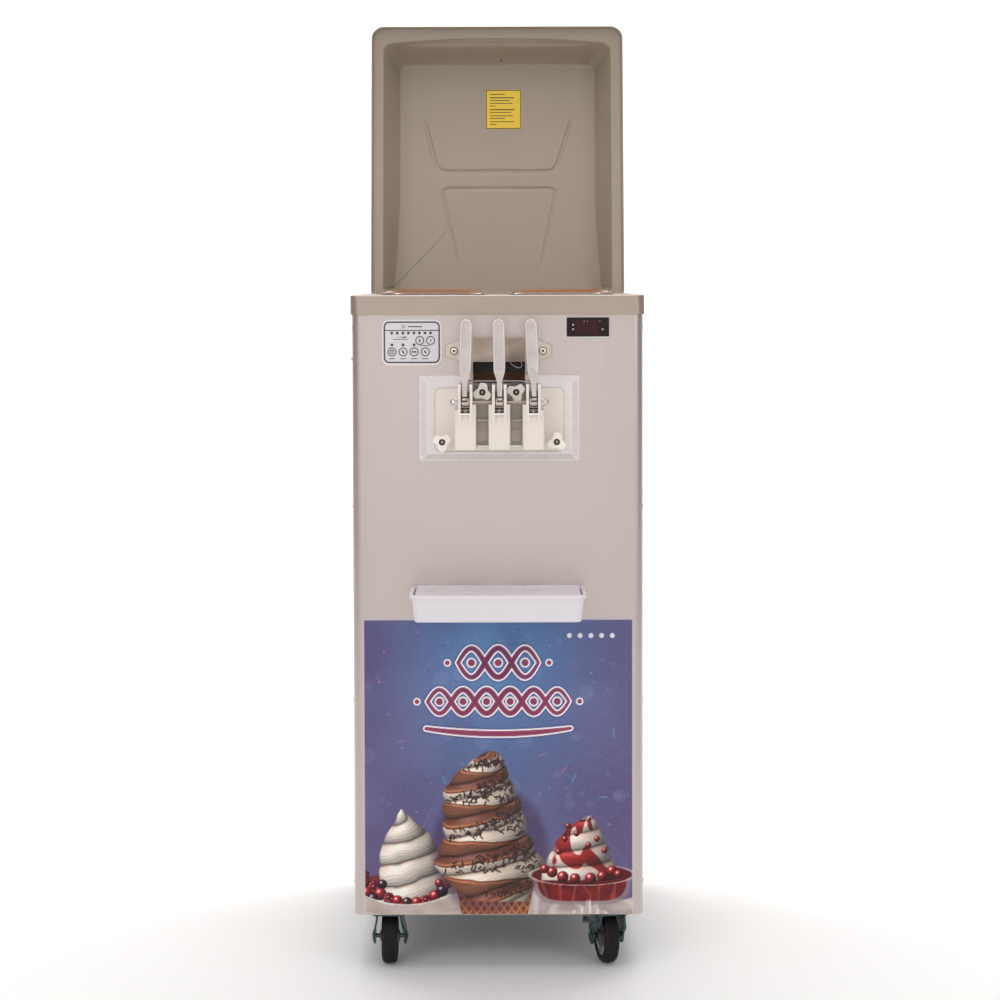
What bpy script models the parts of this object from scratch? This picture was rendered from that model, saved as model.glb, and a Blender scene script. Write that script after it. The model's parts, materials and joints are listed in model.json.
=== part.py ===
"""Floor-standing soft serve machine with two hoppers and three taps, in metres, +Z up, front towards -Y.

The origin is on the floor under the middle of the cabinet. The lid stands open, so the rest pose is the
open machine, and both front casters and the two rear ones stand on the floor at z = 0.
"""

from math import asin, cos, pi, radians, sin

import bmesh
import bpy
from mathutils import Matrix

# ---- driving dimensions -------------------------------------------------------------------------
GAP = 0.0004
SHEET = 0.0012

BODY_WIDTH = 0.535
BODY_FRONT = -0.300
BODY_REAR = 0.292
BODY_BOTTOM = 0.105
BODY_TOP = 1.2465
CORNER_RADIUS = 0.018
FRONT_RETURN = 0.045

DECK_WIDTH = 0.541
DECK_FRONT = -0.304
DECK_REAR = 0.296
DECK_TOP = 1.251
DECK_BAND = 0.036
DECK_SHEET = 0.0015

FRAME_BOTTOM = 0.122
FRAME_TOP = 1.240
FRAME_WALL = 0.003
FRAME_HALF_WIDTH = 0.2595
FRAME_FRONT = -0.2925
FRAME_REAR = 0.289
SHELF_HEIGHT = 0.560

HOPPER_X = 0.121
HOPPER_Y = -0.040
HOPPER_WIDTH = 0.185
HOPPER_LENGTH = 0.3285
HOPPER_FLOOR = 1.110
HOPPER_RIM = 1.2525
HOPPER_WALL = 0.0015

LID_HINGE_Y = 0.3005
LID_HINGE_Z = 1.2475
LID_OPEN_DEGREES = 97.0
LID_HALF_WIDTH = 0.2675
LID_LENGTH = 0.577
LID_RISE = 0.0105

HEAD_X = 0.0033
VALVE_PITCH = 0.0615
CYLINDER_Z = 1.028
CYLINDER_RADIUS = 0.052
CYLINDER_BORE = 0.046
CYLINDER_FRONT = -0.3031
CYLINDER_REAR = -0.003
INLET_Y = -0.100

HEAD_WIDTH = 0.2355
HEAD_BOTTOM = 0.9656
HEAD_TOP = 1.0812
HEAD_BACK = 0.0035
HEAD_FACE = 0.0125
COLUMN_BOTTOM = 0.973
COLUMN_TOP = 1.0905
PLUNGER_DEPTH = 0.042
PLUNGER_RADIUS = 0.0115
PIVOT_DEPTH = 0.070
PIVOT_Z = 1.058
PIVOT_RADIUS = 0.004
KNOB_DEPTH = 0.0325

BEZEL_LOW = (-0.1437, 0.9465)
BEZEL_HIGH = (0.1503, 1.1042)
BEZEL_DEPTH = 0.014

MOTOR_Z = 0.680
BELT_Y_LEFT = 0.018
BELT_Y_RIGHT = 0.042
BELT_HALF_THICKNESS = 0.0025
BELT_WIDTH = 0.008
DRIVEN_PITCH = 0.051
MOTOR_PITCH = 0.022

CASTER_X = 0.204
CASTER_FRONT_Y = -0.270
CASTER_REAR_Y = 0.235
CASTER_TRAIL = 0.026
WHEEL_RADIUS = 0.0495
CROWN_BOTTOM = 0.1005
CROWN_TOP = 0.1038
PEDAL_Y = 0.044
PEDAL_Z = 0.0995
WHEEL_WIDTH = 0.029
FORK_WIDTH = 0.0615
BRAKED_SWIVEL = 12.5

SWITCH_Y = -0.225
SWITCH_Z = 1.126

# ---- scene, materials and collections ------------------------------------------------------------
for old in list(bpy.data.objects):
    bpy.data.objects.remove(old, do_unlink=True)

PARTS = bpy.data.collections.new("soft_serve_machine")
TOOLS = bpy.data.collections.new("cutters")
bpy.context.scene.collection.children.link(PARTS)
bpy.context.scene.collection.children.link(TOOLS)


def finish_of(name, colour, roughness, metallic=0.0):
    """A Principled material with one colour."""
    material = bpy.data.materials.new(name)
    material.use_nodes = True
    shader = material.node_tree.nodes["Principled BSDF"]
    shader.inputs["Base Color"].default_value = (*colour, 1.0)
    shader.inputs["Roughness"].default_value = roughness
    shader.inputs["Metallic"].default_value = metallic
    return material


STEEL = finish_of("brushed_steel", (0.62, 0.56, 0.54), 0.38, 1.0)
FRAME_PAINT = finish_of("frame_paint", (0.25, 0.26, 0.27), 0.55)
LID_PLASTIC = finish_of("lid_plastic", (0.35, 0.30, 0.23), 0.45)
WHITE_PLASTIC = finish_of("white_plastic", (0.78, 0.74, 0.74), 0.30)
CREAM_PLASTIC = finish_of("cream_plastic", (0.76, 0.70, 0.62), 0.35)
AMBER_PLASTIC = finish_of("amber_plastic", (0.45, 0.22, 0.08), 0.20)
CAST_LEVER = finish_of("cast_lever", (0.66, 0.60, 0.58), 0.30, 1.0)
PANEL_BLACK = finish_of("panel_black", (0.02, 0.02, 0.02), 0.35)
FILM = finish_of("graphic_film", (0.13, 0.12, 0.32), 0.30)
RUBBER = finish_of("tyre_rubber", (0.03, 0.025, 0.025), 0.75)
ZINC = finish_of("zinc_plate", (0.62, 0.64, 0.62), 0.35, 1.0)
MOTOR_PAINT = finish_of("motor_paint", (0.06, 0.07, 0.08), 0.50)
ALUMINIUM = finish_of("aluminium", (0.70, 0.70, 0.72), 0.40, 1.0)


def keep(obj, name, material):
    """Names a finished sub-part, gives it its material and puts it with the parts."""
    obj.name = name
    obj.data.materials.clear()
    obj.data.materials.append(material)
    for group in list(obj.users_collection):
        group.objects.unlink(obj)
    PARTS.objects.link(obj)
    return obj


def tool(obj):
    """Puts a cutter, or a piece that a union takes in, with the tools, out of the built model."""
    for group in list(obj.users_collection):
        group.objects.unlink(obj)
    TOOLS.objects.link(obj)
    obj.hide_render = True
    obj.display_type = "WIRE"
    return obj


# ---- shape helpers --------------------------------------------------------------------------------
def from_bmesh(name, bm):
    """An object whose closed mesh has its faces pointing out."""
    bmesh.ops.recalc_face_normals(bm, faces=bm.faces)
    mesh = bpy.data.meshes.new(name)
    bm.to_mesh(mesh)
    bm.free()
    obj = bpy.data.objects.new(name, mesh)
    bpy.context.scene.collection.objects.link(obj)
    return obj


def box(low, high):
    """A box between two corners."""
    bm = bmesh.new()
    bmesh.ops.create_cube(bm, size=1.0)
    size = [b - a for a, b in zip(low, high)]
    centre = [(a + b) / 2 for a, b in zip(low, high)]
    bmesh.ops.scale(bm, vec=size, verts=bm.verts)
    bmesh.ops.translate(bm, vec=centre, verts=bm.verts)
    return from_bmesh("box", bm)


AXIS_TURNS = {
    "x": Matrix.Rotation(pi / 2, 4, "Y"),
    "y": Matrix.Rotation(-pi / 2, 4, "X"),
    "z": Matrix.Identity(4),
}


def rod(centre, radius, length, axis="z", sides=16):
    """A cylinder about a point, along one axis."""
    bm = bmesh.new()
    bmesh.ops.create_cone(bm, cap_ends=True, segments=sides, radius1=radius, radius2=radius, depth=length)
    bmesh.ops.transform(bm, matrix=Matrix.Translation(centre) @ AXIS_TURNS[axis], verts=bm.verts)
    return from_bmesh("rod", bm)


def arc(centre, radius, start, end, steps):
    """Points on an arc, in degrees, both ends included."""
    angles = [radians(start + (end - start) * i / steps) for i in range(steps + 1)]
    return [(centre[0] + radius * cos(a), centre[1] + radius * sin(a)) for a in angles]


def rounded_rect(x0, x1, y0, y1, radius, steps=4, rear_radius=None):
    """A rectangle's outline with round corners, anticlockwise; the two at y1 may have their own radius."""
    rear = radius if rear_radius is None else rear_radius
    corners = [((x1 - rear, y1 - rear), rear, 0), ((x0 + rear, y1 - rear), rear, 90),
               ((x0 + radius, y0 + radius), radius, 180), ((x1 - radius, y0 + radius), radius, 270)]
    points = []
    for centre, size, start in corners:
        points += arc(centre, size, start, start + 90, steps)
    return points


def rectangle(x0, x1, y0, y1):
    return [(x0, y0), (x1, y0), (x1, y1), (x0, y1)]


def plate(loops, thickness):
    """A flat outline, with any further loops as holes, as thick as stated about its own plane."""
    curve = bpy.data.curves.new("outline", "CURVE")
    curve.dimensions = "2D"
    curve.fill_mode = "BOTH"
    curve.extrude = thickness / 2
    for loop in loops:
        spline = curve.splines.new("POLY")
        spline.points.add(len(loop) - 1)
        for point, (x, y) in zip(spline.points, loop):
            point.co = (x, y, 0.0, 1.0)
        spline.use_cyclic_u = True
    drawn = bpy.data.objects.new("outline", curve)
    bpy.context.scene.collection.objects.link(drawn)
    bpy.context.view_layer.update()
    evaluated = drawn.evaluated_get(bpy.context.evaluated_depsgraph_get())
    mesh = bpy.data.meshes.new_from_object(evaluated)
    bpy.data.objects.remove(drawn, do_unlink=True)
    bm = bmesh.new()
    bm.from_mesh(mesh)
    bpy.data.meshes.remove(mesh)
    bmesh.ops.remove_doubles(bm, verts=bm.verts, dist=0.00001)
    return from_bmesh("plate", bm)


def turned(profile, steps, closed=True):
    """A closed or axis-to-axis profile of (radius, height) swept about Z by a Screw modifier."""
    count = len(profile)
    edges = [(i, i + 1) for i in range(count - 1)]
    if closed:
        edges.append((count - 1, 0))
    mesh = bpy.data.meshes.new("turned")
    mesh.from_pydata([(r, 0.0, z) for r, z in profile], edges, [])
    obj = bpy.data.objects.new("turned", mesh)
    bpy.context.scene.collection.objects.link(obj)
    screw = obj.modifiers.new("turn", "SCREW")
    screw.steps = steps
    screw.render_steps = steps
    screw.use_merge_vertices = True
    screw.merge_threshold = 0.00001
    return obj


def loft(rings, closed=False):
    """Skins a run of rings with equal counts of points; the two ends are capped unless it closes."""
    bm = bmesh.new()
    rows = [[bm.verts.new(point) for point in ring] for ring in rings]
    pairs = list(zip(rows, rows[1:]))
    if closed:
        pairs.append((rows[-1], rows[0]))
    for lower, upper in pairs:
        for i in range(len(lower)):
            j = (i + 1) % len(lower)
            bm.faces.new((lower[i], lower[j], upper[j], upper[i]))
    if not closed:
        bm.faces.new(rows[0])
        bm.faces.new(rows[-1])
    return from_bmesh("loft", bm)


def tub_ring(x0, x1, y0, y1, radius, z, steps=3):
    return [(x, y, z) for x, y in rounded_rect(x0, x1, y0, y1, radius, steps)]


def moved(obj, matrix):
    """Moves a piece's own mesh, so that its origin stays where it is."""
    obj.data.transform(matrix)
    return obj


FACE_FRONT = Matrix.Rotation(pi / 2, 4, "X")
FACE_SIDE = Matrix.Rotation(pi / 2, 4, "Z") @ Matrix.Rotation(pi / 2, 4, "X")


def front_plate(loops, depth_back, depth_front):
    """An outline of (x, z) points, standing in front of the body between two depths."""
    piece = plate(loops, depth_front - depth_back)
    y = BODY_FRONT - (depth_back + depth_front) / 2
    return moved(piece, Matrix.Translation((0, y, 0)) @ FACE_FRONT)


def side_plate(loops, x0, x1):
    """An outline of (y, z) points, standing between two x planes."""
    return moved(plate(loops, x1 - x0), Matrix.Translation(((x0 + x1) / 2, 0, 0)) @ FACE_SIDE)


def boolean(target, other, operation):
    modifier = target.modifiers.new(operation.lower(), "BOOLEAN")
    modifier.operation = operation
    modifier.object = tool(other)
    return target


def cut(target, *cutters):
    for cutter in cutters:
        boolean(target, cutter, "DIFFERENCE")
    return target


def join(target, *others):
    for other in others:
        boolean(target, other, "UNION")
    return target


def hinge_at(obj, origin):
    """Puts a moving piece's origin on its joint without moving the piece."""
    obj.data.transform(Matrix.Translation([-c for c in origin]))
    obj.location = origin
    return obj


def carried(empty, *objects):
    """Hangs pieces, modelled about their joint, on an empty that stands on it."""
    for obj in objects:
        obj.parent = empty


def joint_empty(name, location, turn_z=0.0):
    empty = bpy.data.objects.new(name, None)
    PARTS.objects.link(empty)
    empty.location = location
    empty.rotation_euler = (0.0, 0.0, turn_z)
    return empty


# ---- frame and cabinet -----------------------------------------------------------------------------
def caster_places():
    """Name, kingpin place and swivel angle in degrees of each caster."""
    return [
        ("front_left", (-CASTER_X, CASTER_FRONT_Y), 0.0),
        ("front_right", (CASTER_X + 0.003, CASTER_FRONT_Y), BRAKED_SWIVEL),
        ("rear_left", (-CASTER_X, CASTER_REAR_Y - CASTER_TRAIL), 0.0),
        ("rear_right", (CASTER_X, CASTER_REAR_Y - CASTER_TRAIL), 0.0),
    ]


def build_base_frame():
    x, wall = FRAME_HALF_WIDTH, FRAME_WALL
    frame = box((-x, FRAME_FRONT, FRAME_BOTTOM), (x, FRAME_REAR, FRAME_TOP))
    inner_low = (-x + wall, FRAME_FRONT + wall)
    inner_high = (x - wall, FRAME_REAR - wall)
    for z0, z1 in ((FRAME_BOTTOM + wall, SHELF_HEIGHT), (SHELF_HEIGHT + wall, FRAME_TOP + 0.05)):
        cut(frame, box((*inner_low, z0), (*inner_high, z1)))
    post = 0.030
    for z0, z1 in ((0.150, 0.545), (0.590, 1.215)):
        cut(frame, box((-0.3, FRAME_FRONT + post, z0), (0.3, FRAME_REAR - post, z1)))
        cut(frame, box((-x + post, -0.4, z0), (x - post, 0.4, z1)))
    for _, (cx, cy), _ in caster_places():
        cut(frame, rod((cx, cy, FRAME_BOTTOM), 0.0068, 0.02))
    keep(frame, "base_frame", FRAME_PAINT)


def front_section():
    """Plan outline of the front sheet: flat front, two round corners, two short returns."""
    half, radius, back = BODY_WIDTH / 2, CORNER_RADIUS, BODY_FRONT + FRONT_RETURN
    left = (-half + radius, BODY_FRONT + radius)
    right = (half - radius, BODY_FRONT + radius)
    inner = radius - SHEET
    outer_line = [(-half, back), *arc(left, radius, 180, 270, 6), *arc(right, radius, 270, 360, 6), (half, back)]
    inner_line = [(half - SHEET, back), *arc(right, inner, 360, 270, 6), *arc(left, inner, 270, 180, 6),
                  (-half + SHEET, back)]
    return outer_line + inner_line


def build_front_panel():
    height = BODY_TOP - BODY_BOTTOM
    panel = plate([front_section()], height)
    moved(panel, Matrix.Translation((0, 0, BODY_BOTTOM + height / 2)))
    y0, y1 = BODY_FRONT - 0.01, BODY_FRONT + 0.01
    for side in (-1, 1):
        cut(panel, rod((HEAD_X + side * VALVE_PITCH, BODY_FRONT, CYLINDER_Z), 0.0545, 0.02, "y", 24))
    cut(panel, box((HEAD_X - 0.045, y0, 1.1052), (HEAD_X + 0.045, y1, 1.1680)))
    cut(panel, box((0.1296, y0, 1.1771), (0.2016, y1, 1.2071)))
    cut(panel, box((-0.2025, y0, 1.1312), (-0.1105, y1, 1.1972)))
    keep(panel, "front_panel", STEEL)


def louvres(centres, z_first, rows, pitch=0.030, length=0.120, height=0.007):
    """Slots in columns about the given centres, as outlines."""
    slots = []
    for centre in centres:
        for row in range(rows):
            z = z_first + row * pitch
            slots.append(rectangle(centre - length / 2, centre + length / 2, z - height / 2, z + height / 2))
    return slots


def build_side_panels():
    front = BODY_FRONT + FRONT_RETURN + GAP
    back = BODY_REAR - SHEET - GAP
    outline = rectangle(front, back, BODY_BOTTOM, BODY_TOP)
    half = BODY_WIDTH / 2
    slots = louvres((-0.09, 0.12), 0.20, 8) + louvres((-0.09, 0.12), 0.74, 5)
    rocker_hole = rectangle(SWITCH_Y - 0.007, SWITCH_Y + 0.007, SWITCH_Z - 0.0115, SWITCH_Z + 0.0115)
    left = side_plate([outline, *slots, rocker_hole], -half, -half + SHEET)
    right = side_plate([outline, *slots], half - SHEET, half)
    keep(left, "left_side_panel", STEEL)
    keep(right, "right_side_panel", STEEL)


GLAND_X, GLAND_Z, GLAND_HOLE = 0.190, 0.180, 0.0105


def build_rear_panel():
    half = BODY_WIDTH / 2
    outline = rectangle(-half, half, BODY_BOTTOM, BODY_TOP)
    slots = louvres((-0.10, 0.10), 0.24, 8) + louvres((-0.10, 0.10), 0.88, 6)
    gland_hole = arc((GLAND_X, GLAND_Z), GLAND_HOLE, 0, 345, 23)
    panel = front_plate([outline, *slots, gland_hole], 0.0, SHEET)
    moved(panel, Matrix.Translation((0, BODY_REAR - BODY_FRONT, 0)))
    keep(panel, "rear_panel", STEEL)
    gland = turned([(0.0145, 0.012), (0.0145, GAP), (0.0098, GAP), (0.0098, -0.012), (0.0045, -0.012),
                    (0.0045, 0.026), (0.0080, 0.026), (0.0105, 0.012)], 12)
    gland.location = (GLAND_X, BODY_REAR, GLAND_Z)
    gland.rotation_euler = (-pi / 2, 0, 0)
    keep(gland, "cable_gland", PANEL_BLACK)


def build_top_deck():
    x = DECK_WIDTH / 2
    edge, sheet = 0.0015, DECK_SHEET

    def ring(inset, z):
        line = rounded_rect(-x + inset, x - inset, DECK_FRONT + inset, DECK_REAR - inset, 0.020 - inset, 5,
                            0.006 - inset)
        return [(px, py, z) for px, py in line]

    bottom = DECK_TOP - DECK_BAND
    deck = loft([ring(edge, DECK_TOP), ring(0, DECK_TOP - edge), ring(0, bottom), ring(sheet, bottom),
                 ring(sheet, DECK_TOP - sheet)])
    wide, long = HOPPER_WIDTH / 2 + 0.00125, HOPPER_LENGTH / 2 + 0.00125
    for side in (-1, 1):
        cx = side * HOPPER_X
        outline = rounded_rect(cx - wide, cx + wide, HOPPER_Y - long, HOPPER_Y + long, 0.021, 2)
        cut(deck, moved(plate([outline], 0.04), Matrix.Translation((0, 0, DECK_TOP))))
    keep(deck, "top_deck", STEEL)


def build_graphic_film():
    film = box((-0.2488, BODY_FRONT - 0.0006, BODY_BOTTOM + 0.001), (0.2488, BODY_FRONT - 0.0003, 0.6535))
    keep(film, "graphic_film", FILM)


# ---- lid -------------------------------------------------------------------------------------------
def build_lid():
    """A moulded tub with a turned-down rim, drawn closed about its hinge and then stood open."""
    w, front = LID_HALF_WIDTH, -LID_LENGTH

    def ring(inset, front_inset, rear, radius, z, rear_radius=0.004):
        line = rounded_rect(-w + inset, w - inset, front + front_inset, rear, radius, 4, rear_radius)
        return [(x, y, z + LID_RISE) for x, y in line]

    lid = loft([
        ring(0.0605, 0.0660, -0.0180, 0.020, 0.0805),
        ring(0.0565, 0.0615, -0.0145, 0.024, 0.0775),
        ring(0.0250, 0.0295, -0.0070, 0.020, 0.0062),
        ring(0.0035, 0.0035, -0.0055, 0.0225, 0.0062),
        ring(0.0, 0.0, -0.0040, 0.026, 0.0030),
        ring(0.0, 0.0, -0.0040, 0.026, -0.0055),
        ring(0.0030, 0.0030, -0.0065, 0.023, -0.0055),
        ring(0.0045, 0.0045, -0.0070, 0.0215, 0.0032),
        ring(0.0275, 0.0320, -0.0098, 0.018, 0.0032),
        ring(0.0590, 0.0640, -0.0170, 0.022, 0.0745),
        ring(0.0630, 0.0685, -0.0205, 0.018, 0.0775),
    ])
    lid.location = (0, LID_HINGE_Y, LID_HINGE_Z)
    lid.rotation_euler = (radians(-LID_OPEN_DEGREES), 0, 0)
    keep(lid, "lid", LID_PLASTIC)


def build_lid_hinge():
    """A long hinge behind the deck: its barrel and the leaf screwed to the deck's rear band."""
    y, z = LID_HINGE_Y, LID_HINGE_Z
    half = 0.200
    barrel = rod((0, y, z), 0.004, 2 * half, "x")
    join(barrel, box((-half + 0.001, DECK_REAR + 0.0003, DECK_TOP - 0.030), (half - 0.001, DECK_REAR + 0.0017, z)))
    keep(barrel, "lid_hinge", ZINC)


# ---- mix hoppers -----------------------------------------------------------------------------------
def build_hopper(side_name, side):
    cx, cy = side * HOPPER_X, HOPPER_Y
    wide, long = HOPPER_WIDTH / 2, HOPPER_LENGTH / 2

    def ring(grow, radius, z):
        return tub_ring(cx - wide - grow, cx + wide + grow, cy - long - grow, cy + long + grow, radius, z, 2)

    wall = HOPPER_WALL
    rim_bottom = DECK_TOP + 0.0003
    hopper = loft([ring(-wall - 0.006, 0.014, HOPPER_FLOOR + wall), ring(-wall, 0.0185, HOPPER_FLOOR + 0.008),
                   ring(-wall, 0.0185, HOPPER_RIM), ring(0.0075, 0.026, HOPPER_RIM),
                   ring(0.0075, 0.026, rim_bottom), ring(0.0, 0.020, rim_bottom),
                   ring(0.0, 0.020, HOPPER_FLOOR + 0.007), ring(-0.007, 0.014, HOPPER_FLOOR)])
    outlet_x = HEAD_X + side * VALVE_PITCH
    join(hopper, rod((outlet_x, INLET_Y, 1.100), 0.014, 0.0225))
    cut(hopper, rod((outlet_x, INLET_Y, 1.100), 0.0100, 0.04))
    keep(hopper, "hopper_" + side_name, STEEL)


def build_hopper_cover(side_name, side):
    """A shallow dome with a turned-down edge, moulded in translucent plastic."""
    cx, cy = side * HOPPER_X, HOPPER_Y
    base = HOPPER_RIM + 0.0003

    def ring(half_width, half_length, radius, rise):
        return tub_ring(cx - half_width, cx + half_width, cy - half_length, cy + half_length, radius,
                        base + rise, 4)

    cover = loft([ring(0.055, 0.120, 0.030, 0.0065), ring(0.076, 0.145, 0.030, 0.0055),
                  ring(0.088, 0.160, 0.026, 0.0030), ring(0.0905, 0.1635, 0.024, 0.0005),
                  ring(0.0905, 0.1635, 0.024, 0.0), ring(0.0870, 0.1600, 0.022, 0.0),
                  ring(0.075, 0.143, 0.030, 0.0033), ring(0.055, 0.120, 0.030, 0.0045)])
    keep(cover, "hopper_cover_" + side_name, AMBER_PLASTIC)


def build_feed_tube(side_name, side):
    tube = turned([(0.0090, 0.102), (0.0090, 0.0170), (0.0135, 0.0170), (0.0135, 0.0130), (0.0090, 0.0130),
                   (0.0090, 0.0), (0.0065, 0.0), (0.0065, 0.102)], 12)
    tube.location = (HEAD_X + side * VALVE_PITCH, INLET_Y, 1.0990)
    keep(tube, "feed_tube_" + side_name, WHITE_PLASTIC)


# ---- freezing cylinders, beaters and their drive ----------------------------------------------------
def build_freezing_cylinder(side_name, side):
    x = HEAD_X + side * VALVE_PITCH
    length = CYLINDER_REAR - CYLINDER_FRONT
    barrel = turned([(CYLINDER_RADIUS, length), (CYLINDER_RADIUS, 0), (CYLINDER_BORE, 0),
                     (CYLINDER_BORE, length - 0.008), (0.0098, length - 0.008), (0.0098, length)], 24)
    barrel.location = (x, CYLINDER_FRONT, CYLINDER_Z)
    barrel.rotation_euler = (-pi / 2, 0, 0)
    cut(barrel, rod((x, INLET_Y, CYLINDER_Z + 0.050), 0.010, 0.03))
    keep(barrel, "freezing_cylinder_" + side_name, ALUMINIUM)


def blade_section(tip, hub=0.008, half_thickness=0.0025):
    """A hub with two opposite blades that reach the tip radius."""
    start = asin(half_thickness / hub)
    top = [(hub * cos(start + (pi - 2 * start) * i / 3), hub * sin(start + (pi - 2 * start) * i / 3))
           for i in range(4)]
    half = [(tip, half_thickness), *top, (-tip, half_thickness)]
    return half + [(-x, -y) for x, y in half]


def build_beater(side_name, side, shaft_end):
    """Two twisted scraper blades on a shaft, lofted in one piece along +Y."""
    x = HEAD_X + side * VALVE_PITCH
    front, rear = CYLINDER_FRONT + 0.006, CYLINDER_REAR - 0.011
    steps, twist = 18, radians(360)
    rings = []
    for i in range(steps + 1):
        turn = twist * i / steps
        y = front + (rear - front) * i / steps
        rings.append([(x + u * cos(turn) - v * sin(turn), y, CYLINDER_Z + u * sin(turn) + v * cos(turn))
                      for u, v in blade_section(0.0445)])
    for y in (rear + 0.0005, shaft_end):
        rings.append([(x + u * cos(twist) - v * sin(twist), y, CYLINDER_Z + u * sin(twist) + v * cos(twist))
                      for u, v in blade_section(0.0079)])
    keep(hinge_at(loft(rings), (x, 0, CYLINDER_Z)), "beater_" + side_name, WHITE_PLASTIC)


def groove(centre, outer, root):
    """The points of a belt groove down a pulley's outer side, from high to low."""
    return [(outer, centre + 0.0062), (root, centre + 0.0046), (root, centre - 0.0046), (outer, centre - 0.0062)]


def build_driven_pulley(side_name, side, y):
    x = HEAD_X + side * VALVE_PITCH
    pulley = turned([(0.055, 0.008), *groove(0.0, 0.055, 0.047), (0.055, -0.008), (0.0090, -0.008),
                     (0.0090, 0.008)], 20)
    pulley.location = (x, y, CYLINDER_Z)
    pulley.rotation_euler = (-pi / 2, 0, 0)
    keep(pulley, "driven_pulley_" + side_name, ALUMINIUM)


def build_motor():
    body = turned([(0.0, -0.150), (0.050, -0.150), (0.066, -0.138), (0.068, -0.120), (0.068, -0.030),
                   (0.055, -0.020), (0.030, -0.014), (0.030, -0.003), (0.0088, -0.003), (0.0088, -0.024),
                   (0.0, -0.024)][::-1], 20, closed=False)
    body.location = (HEAD_X, 0, MOTOR_Z)
    body.rotation_euler = (-pi / 2, 0, 0)
    foot_z = SHELF_HEIGHT + FRAME_WALL + GAP
    join(body, box((HEAD_X - 0.060, -0.125, foot_z), (HEAD_X + 0.060, -0.035, foot_z + 0.012)))
    join(body, box((HEAD_X - 0.030, -0.110, foot_z + 0.006), (HEAD_X + 0.030, -0.050, MOTOR_Z - 0.050)))
    keep(body, "drive_motor", MOTOR_PAINT)

    outer, root = MOTOR_PITCH + 0.004, MOTOR_PITCH - 0.004
    pulley = turned([(0.0, 0.052), (outer, 0.052), *groove(BELT_Y_RIGHT, outer, root),
                     *groove(BELT_Y_LEFT, outer, root), (outer, 0.008), (0.0075, 0.008), (0.0075, -0.020),
                     (0.0, -0.020)], 16, closed=False)
    pulley.location = (HEAD_X, 0, MOTOR_Z)
    pulley.rotation_euler = (-pi / 2, 0, 0)
    keep(pulley, "motor_pulley", ALUMINIUM)


def belt_line(top, top_radius, bottom, bottom_radius, steps=12):
    """The loop of an open belt round two wheels: an arc on each, joined by the tangents."""
    dx, dz = top[0] - bottom[0], top[1] - bottom[1]
    span = (dx * dx + dz * dz) ** 0.5
    lean = asin(dx / span)
    wrap = asin((top_radius - bottom_radius) / span)
    up = pi / 2 - lean
    loop = []
    for centre, radius, middle, half in ((top, top_radius, up, pi / 2 + wrap),
                                         (bottom, bottom_radius, up + pi, pi / 2 - wrap)):
        for i in range(steps + 1):
            a = middle - half + 2 * half * i / steps
            loop.append((centre[0] + radius * cos(a), centre[1] + radius * sin(a)))
    return loop


def build_belt(side_name, side, y):
    top, bottom = (HEAD_X + side * VALVE_PITCH, CYLINDER_Z), (HEAD_X, MOTOR_Z)
    loops = [belt_line(top, DRIVEN_PITCH + grow, bottom, MOTOR_PITCH + grow)
             for grow in (BELT_HALF_THICKNESS, -BELT_HALF_THICKNESS)]
    belt = front_plate(loops, 0.0, BELT_WIDTH)
    moved(belt, Matrix.Translation((0, y + BELT_WIDTH / 2 - BODY_FRONT, 0)))
    keep(belt, "drive_belt_" + side_name, RUBBER)


# ---- refrigeration ----------------------------------------------------------------------------------
def build_refrigeration():
    floor = FRAME_BOTTOM + FRAME_WALL + GAP
    can = turned([(0.0, 0.240), (0.040, 0.236), (0.070, 0.215), (0.082, 0.170), (0.082, 0.060),
                  (0.070, 0.020), (0.040, 0.006), (0.0, 0.005)], 24, closed=False)
    can.location = (-0.110, 0.090, floor)
    join(can, box((-0.190, 0.030, floor), (-0.030, 0.150, floor + 0.012)))
    keep(can, "compressor", MOTOR_PAINT)

    inner, outer, root = 0.205, 0.243, 0.235
    front, pitch, count = -0.120, 0.012, 24
    line = [(outer, front), (outer, front + pitch * count + pitch / 2)]
    for i in range(count, -1, -1):
        y = front + pitch * i
        line += [(inner, y + pitch / 2), (inner, y)]
        if i:
            line += [(root, y), (root, y - pitch / 2)]
    condenser = plate([line], 0.320)
    keep(moved(condenser, Matrix.Translation((0, 0, floor + 0.165))), "condenser", ALUMINIUM)

    centre = (0.180, 0.027, 0.290)
    fan = rod((0, 0, 0), 0.022, 0.030, "x")
    for i in range(5):
        blade = box((-0.001, -0.027, 0.015), (0.001, 0.027, 0.105))
        turn = Matrix.Rotation(2 * pi * i / 5, 4, "X") @ Matrix.Rotation(radians(60), 4, "Z")
        moved(blade, turn)
        blade.location = centre
        join(fan, blade)
    fan.location = centre
    keep(fan, "condenser_fan", MOTOR_PAINT)


# ---- controls ---------------------------------------------------------------------------------------
def build_controls():
    panel = front_plate([rounded_rect(-0.2116, -0.1013, 1.1216, 1.2069, 0.013)], 0.0003, 0.0025)
    join(panel, box((-0.2015, BODY_FRONT - 0.0015, 1.1322), (-0.1115, BODY_FRONT + 0.018, 1.1962)))
    keep(panel, "control_panel", PANEL_BLACK)

    display = front_plate([rounded_rect(0.1269, 0.2044, 1.1748, 1.2094, 0.002, 2)], 0.0003, 0.0060)
    join(display, box((0.1306, BODY_FRONT - 0.002, 1.1781), (0.2006, BODY_FRONT + 0.055, 1.2061)))
    keep(display, "temperature_display", PANEL_BLACK)

    pivot = (-BODY_WIDTH / 2 + 0.0005, SWITCH_Y, SWITCH_Z)
    side_line = [(-0.0030, 0.0095), (-0.0020, 0.0), (-0.0030, -0.0095), (0.0100, -0.0085), (0.0100, 0.0085)]
    rocker = moved(plate([side_line], 0.0116), FACE_FRONT)
    rocker.location = pivot
    rocker.rotation_euler = (0, radians(-24), 0)
    keep(rocker, "power_switch", PANEL_BLACK)


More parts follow.
